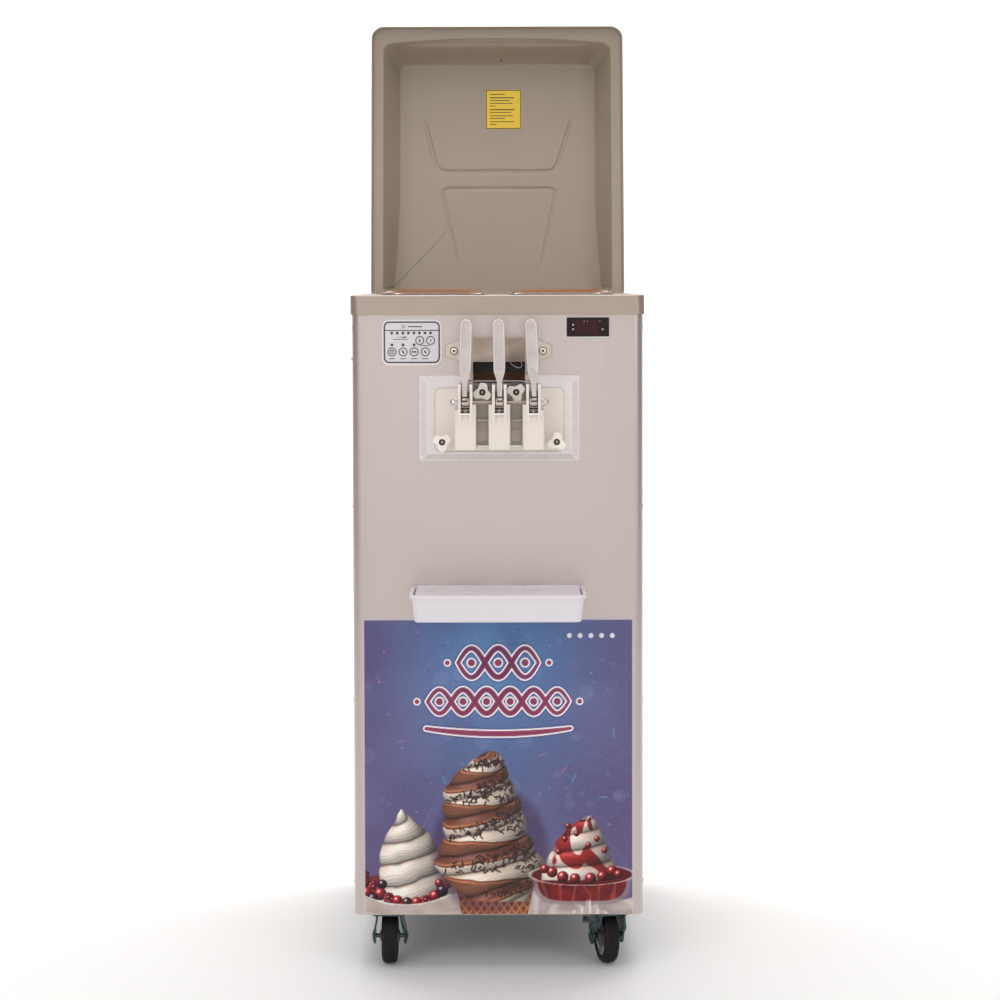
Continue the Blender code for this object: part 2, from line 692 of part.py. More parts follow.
def build_switch_cover():
    """A folded hood over the lever switches, open below, with a lip and two screw ears."""
    y = BODY_FRONT
    x0, x1 = HEAD_X - 0.0491, HEAD_X + 0.0482
    cover = box((x0, y - 0.040, 1.0940), (x1, y - 0.0012, 1.1727))
    cut(cover, box((x0 + SHEET, y - 0.0388, 1.080), (x1 - SHEET, y + 0.010, 1.1715)))
    cut(cover, box((x0 + SHEET, y - 0.050, 1.080), (x1 - SHEET, y - 0.030, 1.1300)))
    cut(cover, box((x0 - 0.01, y - 0.0165, 1.080), (x1 + 0.01, y + 0.010, 1.1065)))
    ears = [(-0.0960, 1.1380), (-0.0640, 1.1285), (0.0680, 1.1285), (0.1000, 1.1380), (0.1000, 1.1595),
            (0.0680, 1.1720), (-0.0640, 1.1720), (-0.0960, 1.1595)]
    window = rectangle(HEAD_X - 0.044, HEAD_X + 0.044, 1.1320, 1.1665)
    join(cover, front_plate([ears, window], 0.0004, 0.0018))
    join(cover, box((-0.0669, y - 0.0404, 1.0935), (0.0696, y - 0.0170, 1.0951)))
    keep(cover, "switch_cover", STEEL)


# ---- dispensing head ---------------------------------------------------------------------------------
def valve_places():
    return [("left", HEAD_X - VALVE_PITCH), ("center", HEAD_X), ("right", HEAD_X + VALVE_PITCH)]


KNOBS = [("top_left", HEAD_X - VALVE_PITCH / 2, 1.0748, 84), ("top_right", HEAD_X + VALVE_PITCH / 2, 1.0748, 33),
         ("bottom_left", HEAD_X - 0.1043, 0.984, 34), ("bottom_right", HEAD_X + 0.1043, 0.984, 85)]


def build_bezel():
    """A bevelled frame that stands on the front sheet round the head."""
    (x0, z0), (x1, z1) = BEZEL_LOW, BEZEL_HIGH
    hx0, hx1 = HEAD_X - HEAD_WIDTH / 2 - 0.0008, HEAD_X + HEAD_WIDTH / 2 + 0.0008
    hz0, hz1 = HEAD_BOTTOM - 0.0008, HEAD_TOP + 0.0008

    def ring(inset, depth):
        line = rounded_rect(x0 + inset, x1 - inset, z0 + inset, z1 - inset, 0.004, 3)
        return [(x, BODY_FRONT - depth, z) for x, z in line]

    def hole(depth):
        return [(x, BODY_FRONT - depth, z) for x, z in rounded_rect(hx0, hx1, hz0, hz1, 0.0108, 3)]

    frame = loft([ring(0, 0.0003), ring(0, 0.003), ring(0.0135, BEZEL_DEPTH), hole(BEZEL_DEPTH), hole(0.0003)],
                 closed=True)
    keep(frame, "bezel_frame", WHITE_PLASTIC)


def column_block(x):
    """The wide lower block of one valve, with its two front edges rounded."""
    y_back, y_front = BODY_FRONT - 0.0105, BODY_FRONT - 0.078
    outline = [(x + 0.020, y_back), (x - 0.020, y_back), *arc((x - 0.015, y_front + 0.005), 0.005, 180, 270, 3),
               *arc((x + 0.015, y_front + 0.005), 0.005, 270, 360, 3)]
    block = plate([outline], 1.054 - COLUMN_BOTTOM)
    return moved(block, Matrix.Translation((0, 0, (1.054 + COLUMN_BOTTOM) / 2)))


def clevis(x):
    """The narrow upright that carries a lever: its ribs fade into the block below."""
    f = BODY_FRONT
    outline = [(f - 0.0110, 1.0125), (f - 0.0775, 1.0125), (f - 0.0825, 1.0300), (f - 0.0825, 1.0805),
               *arc((f - 0.0725, 1.0805), 0.010, 180, 90, 3), (f - 0.0150, COLUMN_TOP),
               (f - 0.0150, HEAD_TOP - 0.0004), (f - 0.0110, HEAD_TOP - 0.0004)]
    return side_plate([outline], x - 0.013, x + 0.013)


def build_dispensing_head():
    f = BODY_FRONT
    outline = rounded_rect(HEAD_X - HEAD_WIDTH / 2, HEAD_X + HEAD_WIDTH / 2, HEAD_BOTTOM, HEAD_TOP, 0.010, 3)
    head = front_plate([outline], HEAD_BACK, HEAD_FACE)
    for _, x in valve_places():
        join(head, column_block(x), clevis(x))
    for _, x in valve_places():
        cut(head, box((x - 0.0082, f - 0.0950, 1.0388), (x + 0.0082, f - 0.0440, 1.120)))
        cut(head, rod((x, f - PLUNGER_DEPTH, 1.050), 0.0120, 0.141))
        cut(head, rod((x, f - PLUNGER_DEPTH, 0.975), 0.0085, 0.020))
    cut(head, rod((HEAD_X, f - PIVOT_DEPTH, PIVOT_Z), PIVOT_RADIUS + 0.0006, 0.200, "x"))
    nut_seat = VALVE_PITCH + 0.0131
    for side in (-1, 1):
        edges = sorted((HEAD_X + side * nut_seat, HEAD_X + side * (nut_seat + 0.010)))
        cut(head, box((edges[0], f - 0.090, 1.0440), (edges[1], f - 0.055, 1.060)))
    for _, x, z, _ in KNOBS:
        cut(head, rod((x, f - 0.008, z), 0.0048, 0.020, "y", 12))
    for side in (-1, 1):
        cut(head, rod((HEAD_X + side * VALVE_PITCH, f - 0.017, 1.005), 0.006, 0.030, "y", 12))
    keep(head, "dispensing_head", CREAM_PLASTIC)


def build_pivot_rod():
    end = VALVE_PITCH + 0.0245
    shaft = rod((HEAD_X, BODY_FRONT - PIVOT_DEPTH, PIVOT_Z), PIVOT_RADIUS, 2 * end - 0.006, "x")
    keep(shaft, "pivot_rod", ALUMINIUM)
    for name, side in (("left", -1), ("right", 1)):
        nut = turned([(0.0, 0.0145), (0.0030, 0.0140), (0.0058, 0.0105), (0.0064, 0.0065), (0.0078, 0.0060),
                      (0.0078, 0.0), (0.0054, 0.0), (0.0054, 0.0100), (0.0, 0.0110)], 6, closed=False)
        nut.location = (HEAD_X + side * (VALVE_PITCH + 0.0133), BODY_FRONT - PIVOT_DEPTH, PIVOT_Z)
        nut.rotation_euler = (0, side * pi / 2, 0)
        keep(nut, "acorn_nut_" + name, ALUMINIUM)


def build_plunger(name, x):
    """A stepped valve plunger: seal lands, O-ring grooves and the waist that the lever's tail lifts."""
    r, waist = PLUNGER_RADIUS, 0.0070
    plunger = turned([(0.0, 0.0980), (r, 0.0980), (r, 0.0830), (waist, 0.0830),
                      (waist, 0.0730), (r, 0.0730), (r, 0.0690), (r - 0.0025, 0.0690), (r - 0.0025, 0.0650),
                      (r, 0.0650), (r, 0.0040), (r - 0.0035, 0.0), (0.0, 0.0)], 16, closed=False)
    plunger.location = (x, BODY_FRONT - PLUNGER_DEPTH, 0.9800)
    keep(plunger, "plunger_" + name, ALUMINIUM)


LEVER_LEAN = {"left": (1.5, -0.0016), "center": (-0.85, 0.0010), "right": (-2.5, 0.0016)}


def lever_outline():
    """Half of the handle, from the pivot up: a slim neck that swells into a round-ended grip."""
    side = [(0.0042, 0.000), (0.0045, 0.030), (0.0060, 0.0415), (0.0100, 0.0575), (0.0103, 0.070),
            (0.0105, 0.1390)]
    top = [(x, z) for x, z in arc((0.0, 0.1390), 0.0105, 0, 180, 8)][1:-1]
    return side + top + [(-x, z) for x, z in reversed(side)]


def build_lever(name, x):
    lean, offset = LEVER_LEAN[name]
    handle = moved(plate([lever_outline()], 0.009), FACE_FRONT)
    moved(handle, Matrix.Translation((offset, -0.0085, 0)) @ Matrix.Rotation(radians(lean), 4, "Y"))
    handle.location = (x, BODY_FRONT - PIVOT_DEPTH, PIVOT_Z)
    boss = rod((x, BODY_FRONT - PIVOT_DEPTH, PIVOT_Z), 0.0080, 0.0138, "x")
    tail_y = BODY_FRONT - PIVOT_DEPTH
    tail = box((x - 0.0035, tail_y + 0.0050, PIVOT_Z - 0.0032), (x + 0.0035, tail_y + 0.0197, PIVOT_Z + 0.0032))
    join(handle, boss, tail)
    cut(handle, rod((x, BODY_FRONT - PIVOT_DEPTH, PIVOT_Z), PIVOT_RADIUS + 0.0006, 0.030, "x"))
    keep(handle, "lever_" + name, CAST_LEVER)


def build_knobs():
    """Three-lobed hand nuts on screws that hold the head."""
    lobes = 24
    for name, x, z, turn in KNOBS:
        outline = []
        for i in range(lobes):
            a = 2 * pi * i / lobes
            radius = 0.0147 + 0.0025 * cos(3 * (a - radians(turn)))
            outline.append((radius * cos(a), radius * sin(a)))
        knob = moved(plate([outline], 0.010), Matrix.Translation((0, -0.0055, 0)) @ FACE_FRONT)
        knob.location = (x, BODY_FRONT - KNOB_DEPTH, z)
        join(knob, rod((x, BODY_FRONT - 0.0213, z), 0.0042, 0.0350, "y", 12))
        join(knob, rod((x, BODY_FRONT - 0.0244, z), 0.0068, 0.0230, "y", 12))
        keep(knob, "knob_" + name, CREAM_PLASTIC)


# ---- drip tray ---------------------------------------------------------------------------------------
def build_drip_tray():
    rear = BODY_FRONT - 0.0004
    tray = loft([tub_ring(-0.146, 0.146, -0.4220, -0.3055, 0.010, 0.6670),
                 tub_ring(-0.150, 0.150, -0.4265, -0.3030, 0.014, 0.6705),
                 tub_ring(-0.1545, 0.1545, -0.4310, -0.3025, 0.016, 0.7095),
                 tub_ring(-0.1590, 0.1590, -0.4350, rear, 0.019, 0.7095),
                 tub_ring(-0.1590, 0.1590, -0.4350, rear, 0.019, 0.7170),
                 tub_ring(-0.1520, 0.1520, -0.4285, -0.3065, 0.0135, 0.7170),
                 tub_ring(-0.1475, 0.1475, -0.4240, -0.3060, 0.0115, 0.6725),
                 tub_ring(-0.1440, 0.1440, -0.4200, -0.3080, 0.0090, 0.6698)])
    keep(tray, "drip_tray", WHITE_PLASTIC)
    slots = [rectangle(cx - 0.0165, cx + 0.0165, cy - 0.003, cy + 0.003)
             for cx in (-0.0560, 0.0560) for cy in (-0.348, -0.388)]
    grid = plate([rounded_rect(-0.1490, 0.1490, -0.4255, -0.3090, 0.011, 3), *slots], 0.003)
    keep(moved(grid, Matrix.Translation((0, 0, 0.7125))), "drip_grid", WHITE_PLASTIC)


# ---- casters -----------------------------------------------------------------------------------------
def fork_cheek(x, rear):
    """One side plate of a fork, from the crown down round the axle."""
    outline = [(-0.026, CROWN_TOP), (-0.020, 0.0940), *arc((CASTER_TRAIL, WHEEL_RADIUS), 0.0135, 205, 385, 4),
               (rear, 0.0940), (rear, CROWN_TOP)]
    return side_plate([outline], x - 0.0016, x + 0.0016)


def build_caster(name, place, swivel, braked):
    """A fork on its kingpin, the wheel on its axle, and on some a brake pedal behind the wheel."""
    empty = joint_empty("swivel_" + name, (*place, 0.0), radians(swivel))
    half = FORK_WIDTH / 2
    cheek_x = half - 0.0016
    cheek_rear = 0.0500 if braked else 0.0360
    fork = box((-half + 0.0004, -0.0258, CROWN_BOTTOM), (half - 0.0004, 0.0342, CROWN_TOP - 0.0002))
    kingpin_top = FRAME_BOTTOM + FRAME_WALL + 0.007
    raceway_top = FRAME_BOTTOM - 0.0005
    join(fork, fork_cheek(-cheek_x, cheek_rear), fork_cheek(cheek_x, cheek_rear))
    join(fork, rod((0, 0, (CROWN_BOTTOM + 0.002 + raceway_top) / 2), 0.0240,
                   raceway_top - CROWN_BOTTOM - 0.002))
    join(fork, rod((0, 0, (kingpin_top + raceway_top) / 2), 0.0060,
                   kingpin_top - raceway_top + 0.006, "z", 8))
    join(fork, rod((0, CASTER_TRAIL, WHEEL_RADIUS), 0.0050, FORK_WIDTH + 0.010, "x", 12))
    for modifier in fork.modifiers:
        modifier.object.parent = empty
    keep(fork, "caster_fork_" + name, ZINC)

    edge, hub, tread = WHEEL_WIDTH / 2, 0.0185, WHEEL_RADIUS
    half_profile = [(0.0200, hub), (0.0200, edge - 0.003), (0.0385, edge - 0.003), (0.0400, edge),
                    (tread, edge - 0.0065)]
    profile = half_profile + [(r, -z) for r, z in reversed(half_profile)] + [(0.0058, -hub), (0.0058, hub)]
    wheel = turned(profile, 20)
    wheel.location = (0, CASTER_TRAIL, WHEEL_RADIUS)
    wheel.rotation_euler = (0, pi / 2, 0)
    keep(wheel, "caster_wheel_" + name, RUBBER)
    carried(empty, fork, wheel)
    if braked:
        top = [(-0.004, 0.003), (0.010, 0.003), (0.040, -0.006), (0.066, -0.022), (0.074, -0.036),
               (0.0745, -0.052)]
        under = [(0.0715, -0.052), (0.0710, -0.037), (0.0635, -0.0245), (0.0390, -0.0092),
                 (0.0100, -0.0004), (-0.0040, -0.0004)]
        pedal = side_plate([top + under], -0.022, 0.022)
        pedal.location = (0, PEDAL_Y, PEDAL_Z)
        keep(pedal, "brake_pedal_" + name, ZINC)
        carried(empty, pedal)


# ---- the whole machine ---------------------------------------------------------------------------------
def main():
    build_base_frame()
    build_front_panel()
    build_side_panels()
    build_rear_panel()
    build_top_deck()
    build_graphic_film()
    build_lid()
    build_lid_hinge()
    for name, side, belt_y in (("left", -1, BELT_Y_LEFT), ("right", 1, BELT_Y_RIGHT)):
        build_hopper(name, side)
        build_hopper_cover(name, side)
        build_feed_tube(name, side)
        build_freezing_cylinder(name, side)
        build_beater(name, side, belt_y + 0.012)
        build_driven_pulley(name, side, belt_y)
        build_belt(name, side, belt_y)
    build_motor()
    build_refrigeration()
    build_controls()
    build_switch_cover()
    build_bezel()
    build_dispensing_head()
    build_pivot_rod()
    for name, x in valve_places():
        build_plunger(name, x)
        build_lever(name, x)
    build_knobs()
    build_drip_tray()
    for name, place, swivel in caster_places():
        build_caster(name, place, swivel, name in ("front_right", "rear_left"))


main()
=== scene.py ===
"""Looks of the soft serve machine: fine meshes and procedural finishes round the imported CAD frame.

Everything is in the frame's own metres, +Z up, front towards -Y, with the lid open as at rest.
"""

import json
from math import atan2, cos, hypot, pi, radians, sin, sqrt

import bmesh
import bpy
import numpy as np
from mathutils import Matrix, Vector


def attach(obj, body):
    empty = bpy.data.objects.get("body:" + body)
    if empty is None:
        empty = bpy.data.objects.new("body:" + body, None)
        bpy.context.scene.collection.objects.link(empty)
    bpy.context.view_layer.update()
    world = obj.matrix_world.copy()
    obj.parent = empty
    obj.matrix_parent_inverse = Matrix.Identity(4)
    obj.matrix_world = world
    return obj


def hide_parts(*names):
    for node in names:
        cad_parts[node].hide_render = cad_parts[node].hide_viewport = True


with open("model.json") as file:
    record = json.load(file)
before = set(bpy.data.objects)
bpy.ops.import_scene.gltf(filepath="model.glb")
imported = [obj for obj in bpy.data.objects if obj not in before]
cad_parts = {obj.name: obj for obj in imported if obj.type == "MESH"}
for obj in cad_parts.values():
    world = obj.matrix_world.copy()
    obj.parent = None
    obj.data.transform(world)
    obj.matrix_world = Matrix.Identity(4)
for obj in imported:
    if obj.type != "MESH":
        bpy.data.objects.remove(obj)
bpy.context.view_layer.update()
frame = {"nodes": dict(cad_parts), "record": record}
NODES = frame["nodes"]


def shift(offset):
    return Matrix.Translation(offset)


def spin(degrees, axis):
    return Matrix.Rotation(radians(degrees), 4, axis)


# ---- places, repeated from the part's source -----------------------------------------------------
FRONT = -0.300
REAR = 0.292
HEAD_X = 0.0033
PITCH = 0.0615
VALVES = [("left", HEAD_X - PITCH), ("center", HEAD_X), ("right", HEAD_X + PITCH)]
PIVOT_Y, PIVOT_Z = -0.370, 1.058
PLUNGER_Y = -0.342
LID_HINGE = Vector((0.0, 0.3005, 1.2475))
LID_TURN = shift(LID_HINGE) @ spin(-97.0, "X")
FACE_FRONT = spin(90, "X")
FACE_SIDE = spin(90, "Z") @ spin(90, "X")


# ---- finishes ------------------------------------------------------------------------------------
class Finish:
    """A Principled material whose colour, roughness and bump come from noise in the piece's space."""

    def __init__(self, name, colour, roughness, metallic=0.0, **sockets):
        self.material = bpy.data.materials.new(name)
        self.material.use_nodes = True
        self.tree = self.material.node_tree
        self.shader = self.tree.nodes["Principled BSDF"]
        self.coords = self.tree.nodes.new("ShaderNodeTexCoord").outputs["Object"]
        self.set("Base Color", (*colour, 1.0))
        self.set("Roughness", roughness)
        self.set("Metallic", metallic)
        for socket, value in sockets.items():
            self.set(socket.replace("_", " "), value)
        self.colour = None
        self.base = (*colour, 1.0)
        self.normal = None

    def set(self, socket, value):
        self.shader.inputs[socket].default_value = value

    def node(self, kind, outputs=0, **inputs):
        """A node with its inputs set or linked; the key is the input's name, or i0, i1 for its number."""
        made = self.tree.nodes.new(kind)
        for key, value in inputs.items():
            if hasattr(made, key) and not isinstance(value, bpy.types.NodeSocket):
                setattr(made, key, value)
                continue
            socket = made.inputs[int(key[1:])] if key[1:].isdigit() else made.inputs[key.replace("_", " ")]
            if isinstance(value, bpy.types.NodeSocket):
                self.tree.links.new(value, socket)
            else:
                socket.default_value = value
        return made.outputs[outputs]

    def stretched(self, stretch):
        return self.node("ShaderNodeMapping", Vector=self.coords, Scale=stretch)

    def grain(self, stretch, detail=3.0, rough=0.55):
        """Noise whose cells are one over the stretch, in metres, along each axis."""
        return self.node("ShaderNodeTexNoise", Vector=self.stretched(stretch), Scale=1.0, Detail=detail,
                         Roughness=rough)

    def ramp(self, fac, low, high, start=0.35, end=0.65):
        """Carries a factor from one number to another between two thresholds."""
        made = self.tree.nodes.new("ShaderNodeMapRange")
        for socket, value in zip(("From Min", "From Max", "To Min", "To Max"), (start, end, low, high)):
            made.inputs[socket].default_value = value
        self.tree.links.new(fac, made.inputs["Value"])
        return made.outputs["Result"]

    def tint(self, fac, colour, amount, start=0.35, end=0.65):
        """Blends a second colour into the first where the noise is high."""
        mix = self.tree.nodes.new("ShaderNodeMix")
        mix.data_type = "RGBA"
        self.tree.links.new(self.ramp(fac, 0.0, amount, start, end), mix.inputs["Factor"])
        if self.colour is None:
            mix.inputs[6].default_value = self.base
        else:
            self.tree.links.new(self.colour, mix.inputs[6])
        mix.inputs[7].default_value = (*colour, 1.0)
        self.colour = mix.outputs[2]
        self.tree.links.new(self.colour, self.shader.inputs["Base Color"])
        return self

    def roughen(self, fac, low, high, start=0.3, end=0.7):
        self.tree.links.new(self.ramp(fac, low, high, start, end), self.shader.inputs["Roughness"])
        return self

    def bump(self, fac, distance, strength=1.0):
        made = self.tree.nodes.new("ShaderNodeBump")
        made.inputs["Strength"].default_value = strength
        made.inputs["Distance"].default_value = distance
        self.tree.links.new(fac, made.inputs["Height"])
        if self.normal is not None:
            self.tree.links.new(self.normal, made.inputs["Normal"])
        self.normal = made.outputs["Normal"]
        self.tree.links.new(self.normal, self.shader.inputs["Normal"])
        return self

    def shaded_by_facing(self, colour, amount, start=0.45, end=0.80):
        """Painted shade: a darker colour on faces that look steeply up or down."""
        normal = self.tree.nodes.new("ShaderNodeNewGeometry").outputs["Normal"]
        upward = self.node("ShaderNodeSeparateXYZ", 2, i0=normal)
        steep = self.node("ShaderNodeMath", operation="ABSOLUTE", i0=upward)
        return self.tint(steep, colour, amount, start, end)

    def edges(self, colour, amount, start=0.53, end=0.62):
        """A second colour on convex edges: edge wear and a painted edge highlight."""
        point = self.tree.nodes.new("ShaderNodeNewGeometry").outputs["Pointiness"]
        return self.tint(point, colour, amount, start, end)


def brushed(name, colour, along, roughness=0.34, metallic=0.9):
    """Sheet with a fine grain along one axis, broader streaks along it and a faint cloudiness."""
    finish = Finish(name, colour, roughness, metallic)
    darker = tuple(c * 0.80 for c in colour)
    lighter = tuple(min(1.0, c * 1.12) for c in colour)
    fine = finish.grain(tuple(5.0 if axis == along else 1400.0 for axis in "xyz"), 2.0)
    broad = finish.grain(tuple(1.2 if axis == along else 160.0 for axis in "xyz"), 3.0)
    cloud = finish.grain((3.0, 3.0, 2.2), 4.0)
    finish.tint(broad, darker, 0.06).tint(fine, lighter, 0.16).tint(cloud, darker, 0.12, 0.45, 0.75)
    finish.roughen(fine, roughness - 0.05, roughness + 0.07)
    return finish.bump(fine, 0.00003, 0.30)


def moulded(name, colour, roughness, speck=700.0, depth=0.00003, **sockets):
    """Moulded plastic: a fine orange peel and slight colour drift."""
    finish = Finish(name, colour, roughness, **sockets)
    drift = finish.grain((9.0, 9.0, 9.0), 3.0)
    peel = finish.grain((speck, speck, speck), 2.0)
    finish.tint(drift, tuple(c * 0.93 for c in colour), 0.25)
    finish.tint(finish.grain((60.0, 60.0, 60.0), 4.0), tuple(c * 0.95 for c in colour), 0.15, 0.5, 0.7)
    finish.roughen(finish.grain((25.0, 25.0, 25.0), 4.0), roughness - 0.05, roughness + 0.08)
    return finish.bump(peel, depth, 0.5)


def cast(name, colour, roughness, speck=420.0, metallic=1.0, depth=0.00006):
    """Cast or plated metal: fine pits, dull patches and brighter edges."""
    finish = Finish(name, colour, roughness, metallic)
    pits = finish.grain((speck, speck, speck), 3.0)
    patches = finish.grain((45.0, 45.0, 45.0), 4.0)
    finish.tint(patches, tuple(c * 0.78 for c in colour), 0.45)
    finish.tint(pits, tuple(c * 0.85 for c in colour), 0.3)
    # Lighter convex edges: wear, and a painted highlight along them.
    finish.edges(tuple(min(1.0, c * 1.2) for c in colour), 0.5)
    finish.roughen(patches, roughness - 0.08, roughness + 0.12)
    return finish.bump(pits, depth, 0.5)


STEEL = brushed("steel_front", (0.60, 0.525, 0.50), "z").material
STEEL_DECK = brushed("steel_deck", (0.48, 0.395, 0.345), "x", 0.44).material
STEEL_SIDE = brushed("steel_side", (0.58, 0.51, 0.485), "z", 0.36).material
STEEL_TUB = brushed("steel_tub", (0.60, 0.56, 0.54), "y", 0.28).material
HOOD_STEEL = brushed("steel_hood", (0.53, 0.425, 0.355), "x", 0.62, 0.15).material
FRAME_PAINT = moulded("frame_paint", (0.20, 0.20, 0.21), 0.5).material
LID_FINISH = moulded("lid_plastic", (0.395, 0.330, 0.262), 0.46, 520.0, 0.00008)
# The lid's plastic darkens with height over its upper part: painted shade.
LID_SHADE_HEIGHT = LID_FINISH.node("ShaderNodeSeparateXYZ", 2, i0=LID_FINISH.coords)
LID_PLASTIC = LID_FINISH.tint(LID_SHADE_HEIGHT, (0.200, 0.160, 0.125), 0.60, 1.52, 1.86).material
WHITE_FINISH = moulded("white_plastic", (0.80, 0.745, 0.735), 0.26, Coat_Weight=0.25, Coat_Roughness=0.12)
# Painted shade on the white plastic's faces that look up or down.
WHITE_PLASTIC = WHITE_FINISH.shaded_by_facing((0.52, 0.47, 0.46), 0.60).material
TRAY_PLASTIC = moulded("tray_plastic", (0.80, 0.755, 0.80), 0.30, Coat_Weight=0.2,
                       Coat_Roughness=0.15).material
CREAM_PLASTIC = moulded("cream_plastic", (0.86, 0.785, 0.72), 0.34, Coat_Weight=0.15,
                        Coat_Roughness=0.2).material
KNOB_PLASTIC = moulded("knob_plastic", (0.93, 0.87, 0.80), 0.36, Coat_Weight=0.15,
                       Coat_Roughness=0.2).material
PALE_GREEN = moulded("panel_plastic", (0.70, 0.655, 0.56), 0.42).material
EAR_PAINT = moulded("ear_paint", (0.70, 0.62, 0.52), 0.42).material
AMBER = moulded("amber_plastic", (0.30, 0.125, 0.045), 0.14, Coat_Weight=0.6, Coat_Roughness=0.05,
                Transmission_Weight=0.15).material
LEVER_METAL = cast("lever_metal", (0.66, 0.60, 0.575), 0.40, 420.0, 0.80).material
NUT_METAL = cast("nut_metal", (0.66, 0.64, 0.61), 0.22, 900.0).material
ZINC = cast("zinc_plate", (0.56, 0.60, 0.58), 0.28, 600.0).material
DARK_ZINC = cast("dark_zinc", (0.085, 0.125, 0.130), 0.24, 500.0, 0.85).material
TEAL_ZINC = cast("teal_zinc", (0.050, 0.100, 0.108), 0.22, 500.0, 0.9).material
ALUMINIUM = cast("aluminium", (0.66, 0.66, 0.68), 0.32, 800.0).material
BLACK = moulded("panel_black", (0.014, 0.012, 0.013), 0.40, Specular_IOR_Level=0.35).material
DISPLAY_BLACK = moulded("display_black", (0.022, 0.008, 0.009), 0.50, Specular_IOR_Level=0.25).material
RUBBER = moulded("tyre_rubber", (0.010, 0.008, 0.008), 0.66, 1500.0, 0.00010,
                 Specular_IOR_Level=0.30).material
HUB_GREY = moulded("hub_plastic", (0.10, 0.09, 0.09), 0.45).material
MOTOR_PAINT = moulded("motor_paint", (0.04, 0.045, 0.05), 0.42, 300.0, 0.00008).material
# Near black for knob wells, a socket, a hole, under washers and at the lever feet: painted shade.
RECESS_SHADE = moulded("painted_recess_shade", (0.055, 0.040, 0.036), 0.55).material
# Brown for the shelf at the foot of the hood's opening: painted shade.
SHELF_SHADE = moulded("shelf_painted_shade", (0.16, 0.085, 0.055), 0.30).material
LABEL_YELLOW = moulded("label_yellow", (0.80, 0.55, 0.045), 0.45).material
LABEL_BLACK = moulded("label_black", (0.035, 0.03, 0.02), 0.5).material
KEY_WHITE = moulded("key_white", (0.74, 0.71, 0.72), 0.32).material
KEY_INK = moulded("key_ink", (0.050, 0.042, 0.050), 0.4).material
LAMP_RED = moulded("lamp_red", (0.045, 0.009, 0.009), 0.45, Specular_IOR_Level=0.25).material
ROD_METAL = cast("rod_metal", (0.42, 0.34, 0.28), 0.36, 900.0, 0.9).material
# A lighter, more metallic copy of the lever metal for the levers' side faces: painted highlight.
LEVER_SIDE_HIGHLIGHT = cast("lever_side_highlight", (0.92, 0.88, 0.86), 0.34, 500.0, 0.60).material
# Pale trim; on the slot lips and the hood's lip it is a painted highlight.
PALE_TRIM_AND_HIGHLIGHT = moulded("trim_and_painted_highlight", (0.97, 0.95, 0.93), 0.30).material
MARK_GREY = moulded("mark_grey", (0.36, 0.30, 0.30), 0.4).material


# ---- shape helpers -------------------------------------------------------------------------------
def from_bmesh(name, bm):
    bmesh.ops.recalc_face_normals(bm, faces=bm.faces)
    mesh = bpy.data.meshes.new(name)
    bm.to_mesh(mesh)
    bm.free()
    obj = bpy.data.objects.new(name, mesh)
    bpy.context.scene.collection.objects.link(obj)
    return obj


def box(low, high):
    bm = bmesh.new()
    bmesh.ops.create_cube(bm, size=1.0)
    bmesh.ops.scale(bm, vec=[b - a for a, b in zip(low, high)], verts=bm.verts)
    bmesh.ops.translate(bm, vec=[(a + b) / 2 for a, b in zip(low, high)], verts=bm.verts)
    return from_bmesh("box", bm)


TURNS = {"x": spin(90, "Y"), "y": spin(-90, "X"), "z": Matrix.Identity(4)}


def rod(centre, radius, length, axis="z", sides=48, radius_end=None):
    bm = bmesh.new()
    bmesh.ops.create_cone(bm, cap_ends=True, segments=sides, radius1=radius,
                          radius2=radius if radius_end is None else radius_end, depth=length)
    bmesh.ops.transform(bm, matrix=shift(centre) @ TURNS[axis], verts=bm.verts)
    return from_bmesh("rod", bm)


def arc(centre, radius, start, end, steps):
    angles = [radians(start + (end - start) * i / steps) for i in range(steps + 1)]
    return [(centre[0] + radius * cos(a), centre[1] + radius * sin(a)) for a in angles]


def rounded_rect(x0, x1, y0, y1, radius, steps=8, rear_radius=None):
    """A rectangle's outline with round corners, anticlockwise; the two at y1 may have their own radius."""
    rear = radius if rear_radius is None else rear_radius
    corners = [((x1 - rear, y1 - rear), rear, 0), ((x0 + rear, y1 - rear), rear, 90),
               ((x0 + radius, y0 + radius), radius, 180), ((x1 - radius, y0 + radius), radius, 270)]
    return [p for centre, size, start in corners for p in arc(centre, size, start, start + 90, steps)]


def rectangle(x0, x1, y0, y1):
    return [(x0, y0), (x1, y0), (x1, y1), (x0, y1)]


def circle(x, y, radius, sides=32):
    return arc((x, y), radius, 0, 360 - 360 / sides, sides - 1)


def smoothed(points, rounds=2):
    """Chaikin corner cutting of a closed outline."""
    for _ in range(rounds):
        points = [(a * (1 - t) + c * t, b * (1 - t) + d * t)
                  for (a, b), (c, d) in zip(points, points[1:] + points[:1]) for t in (0.25, 0.75)]
    return points


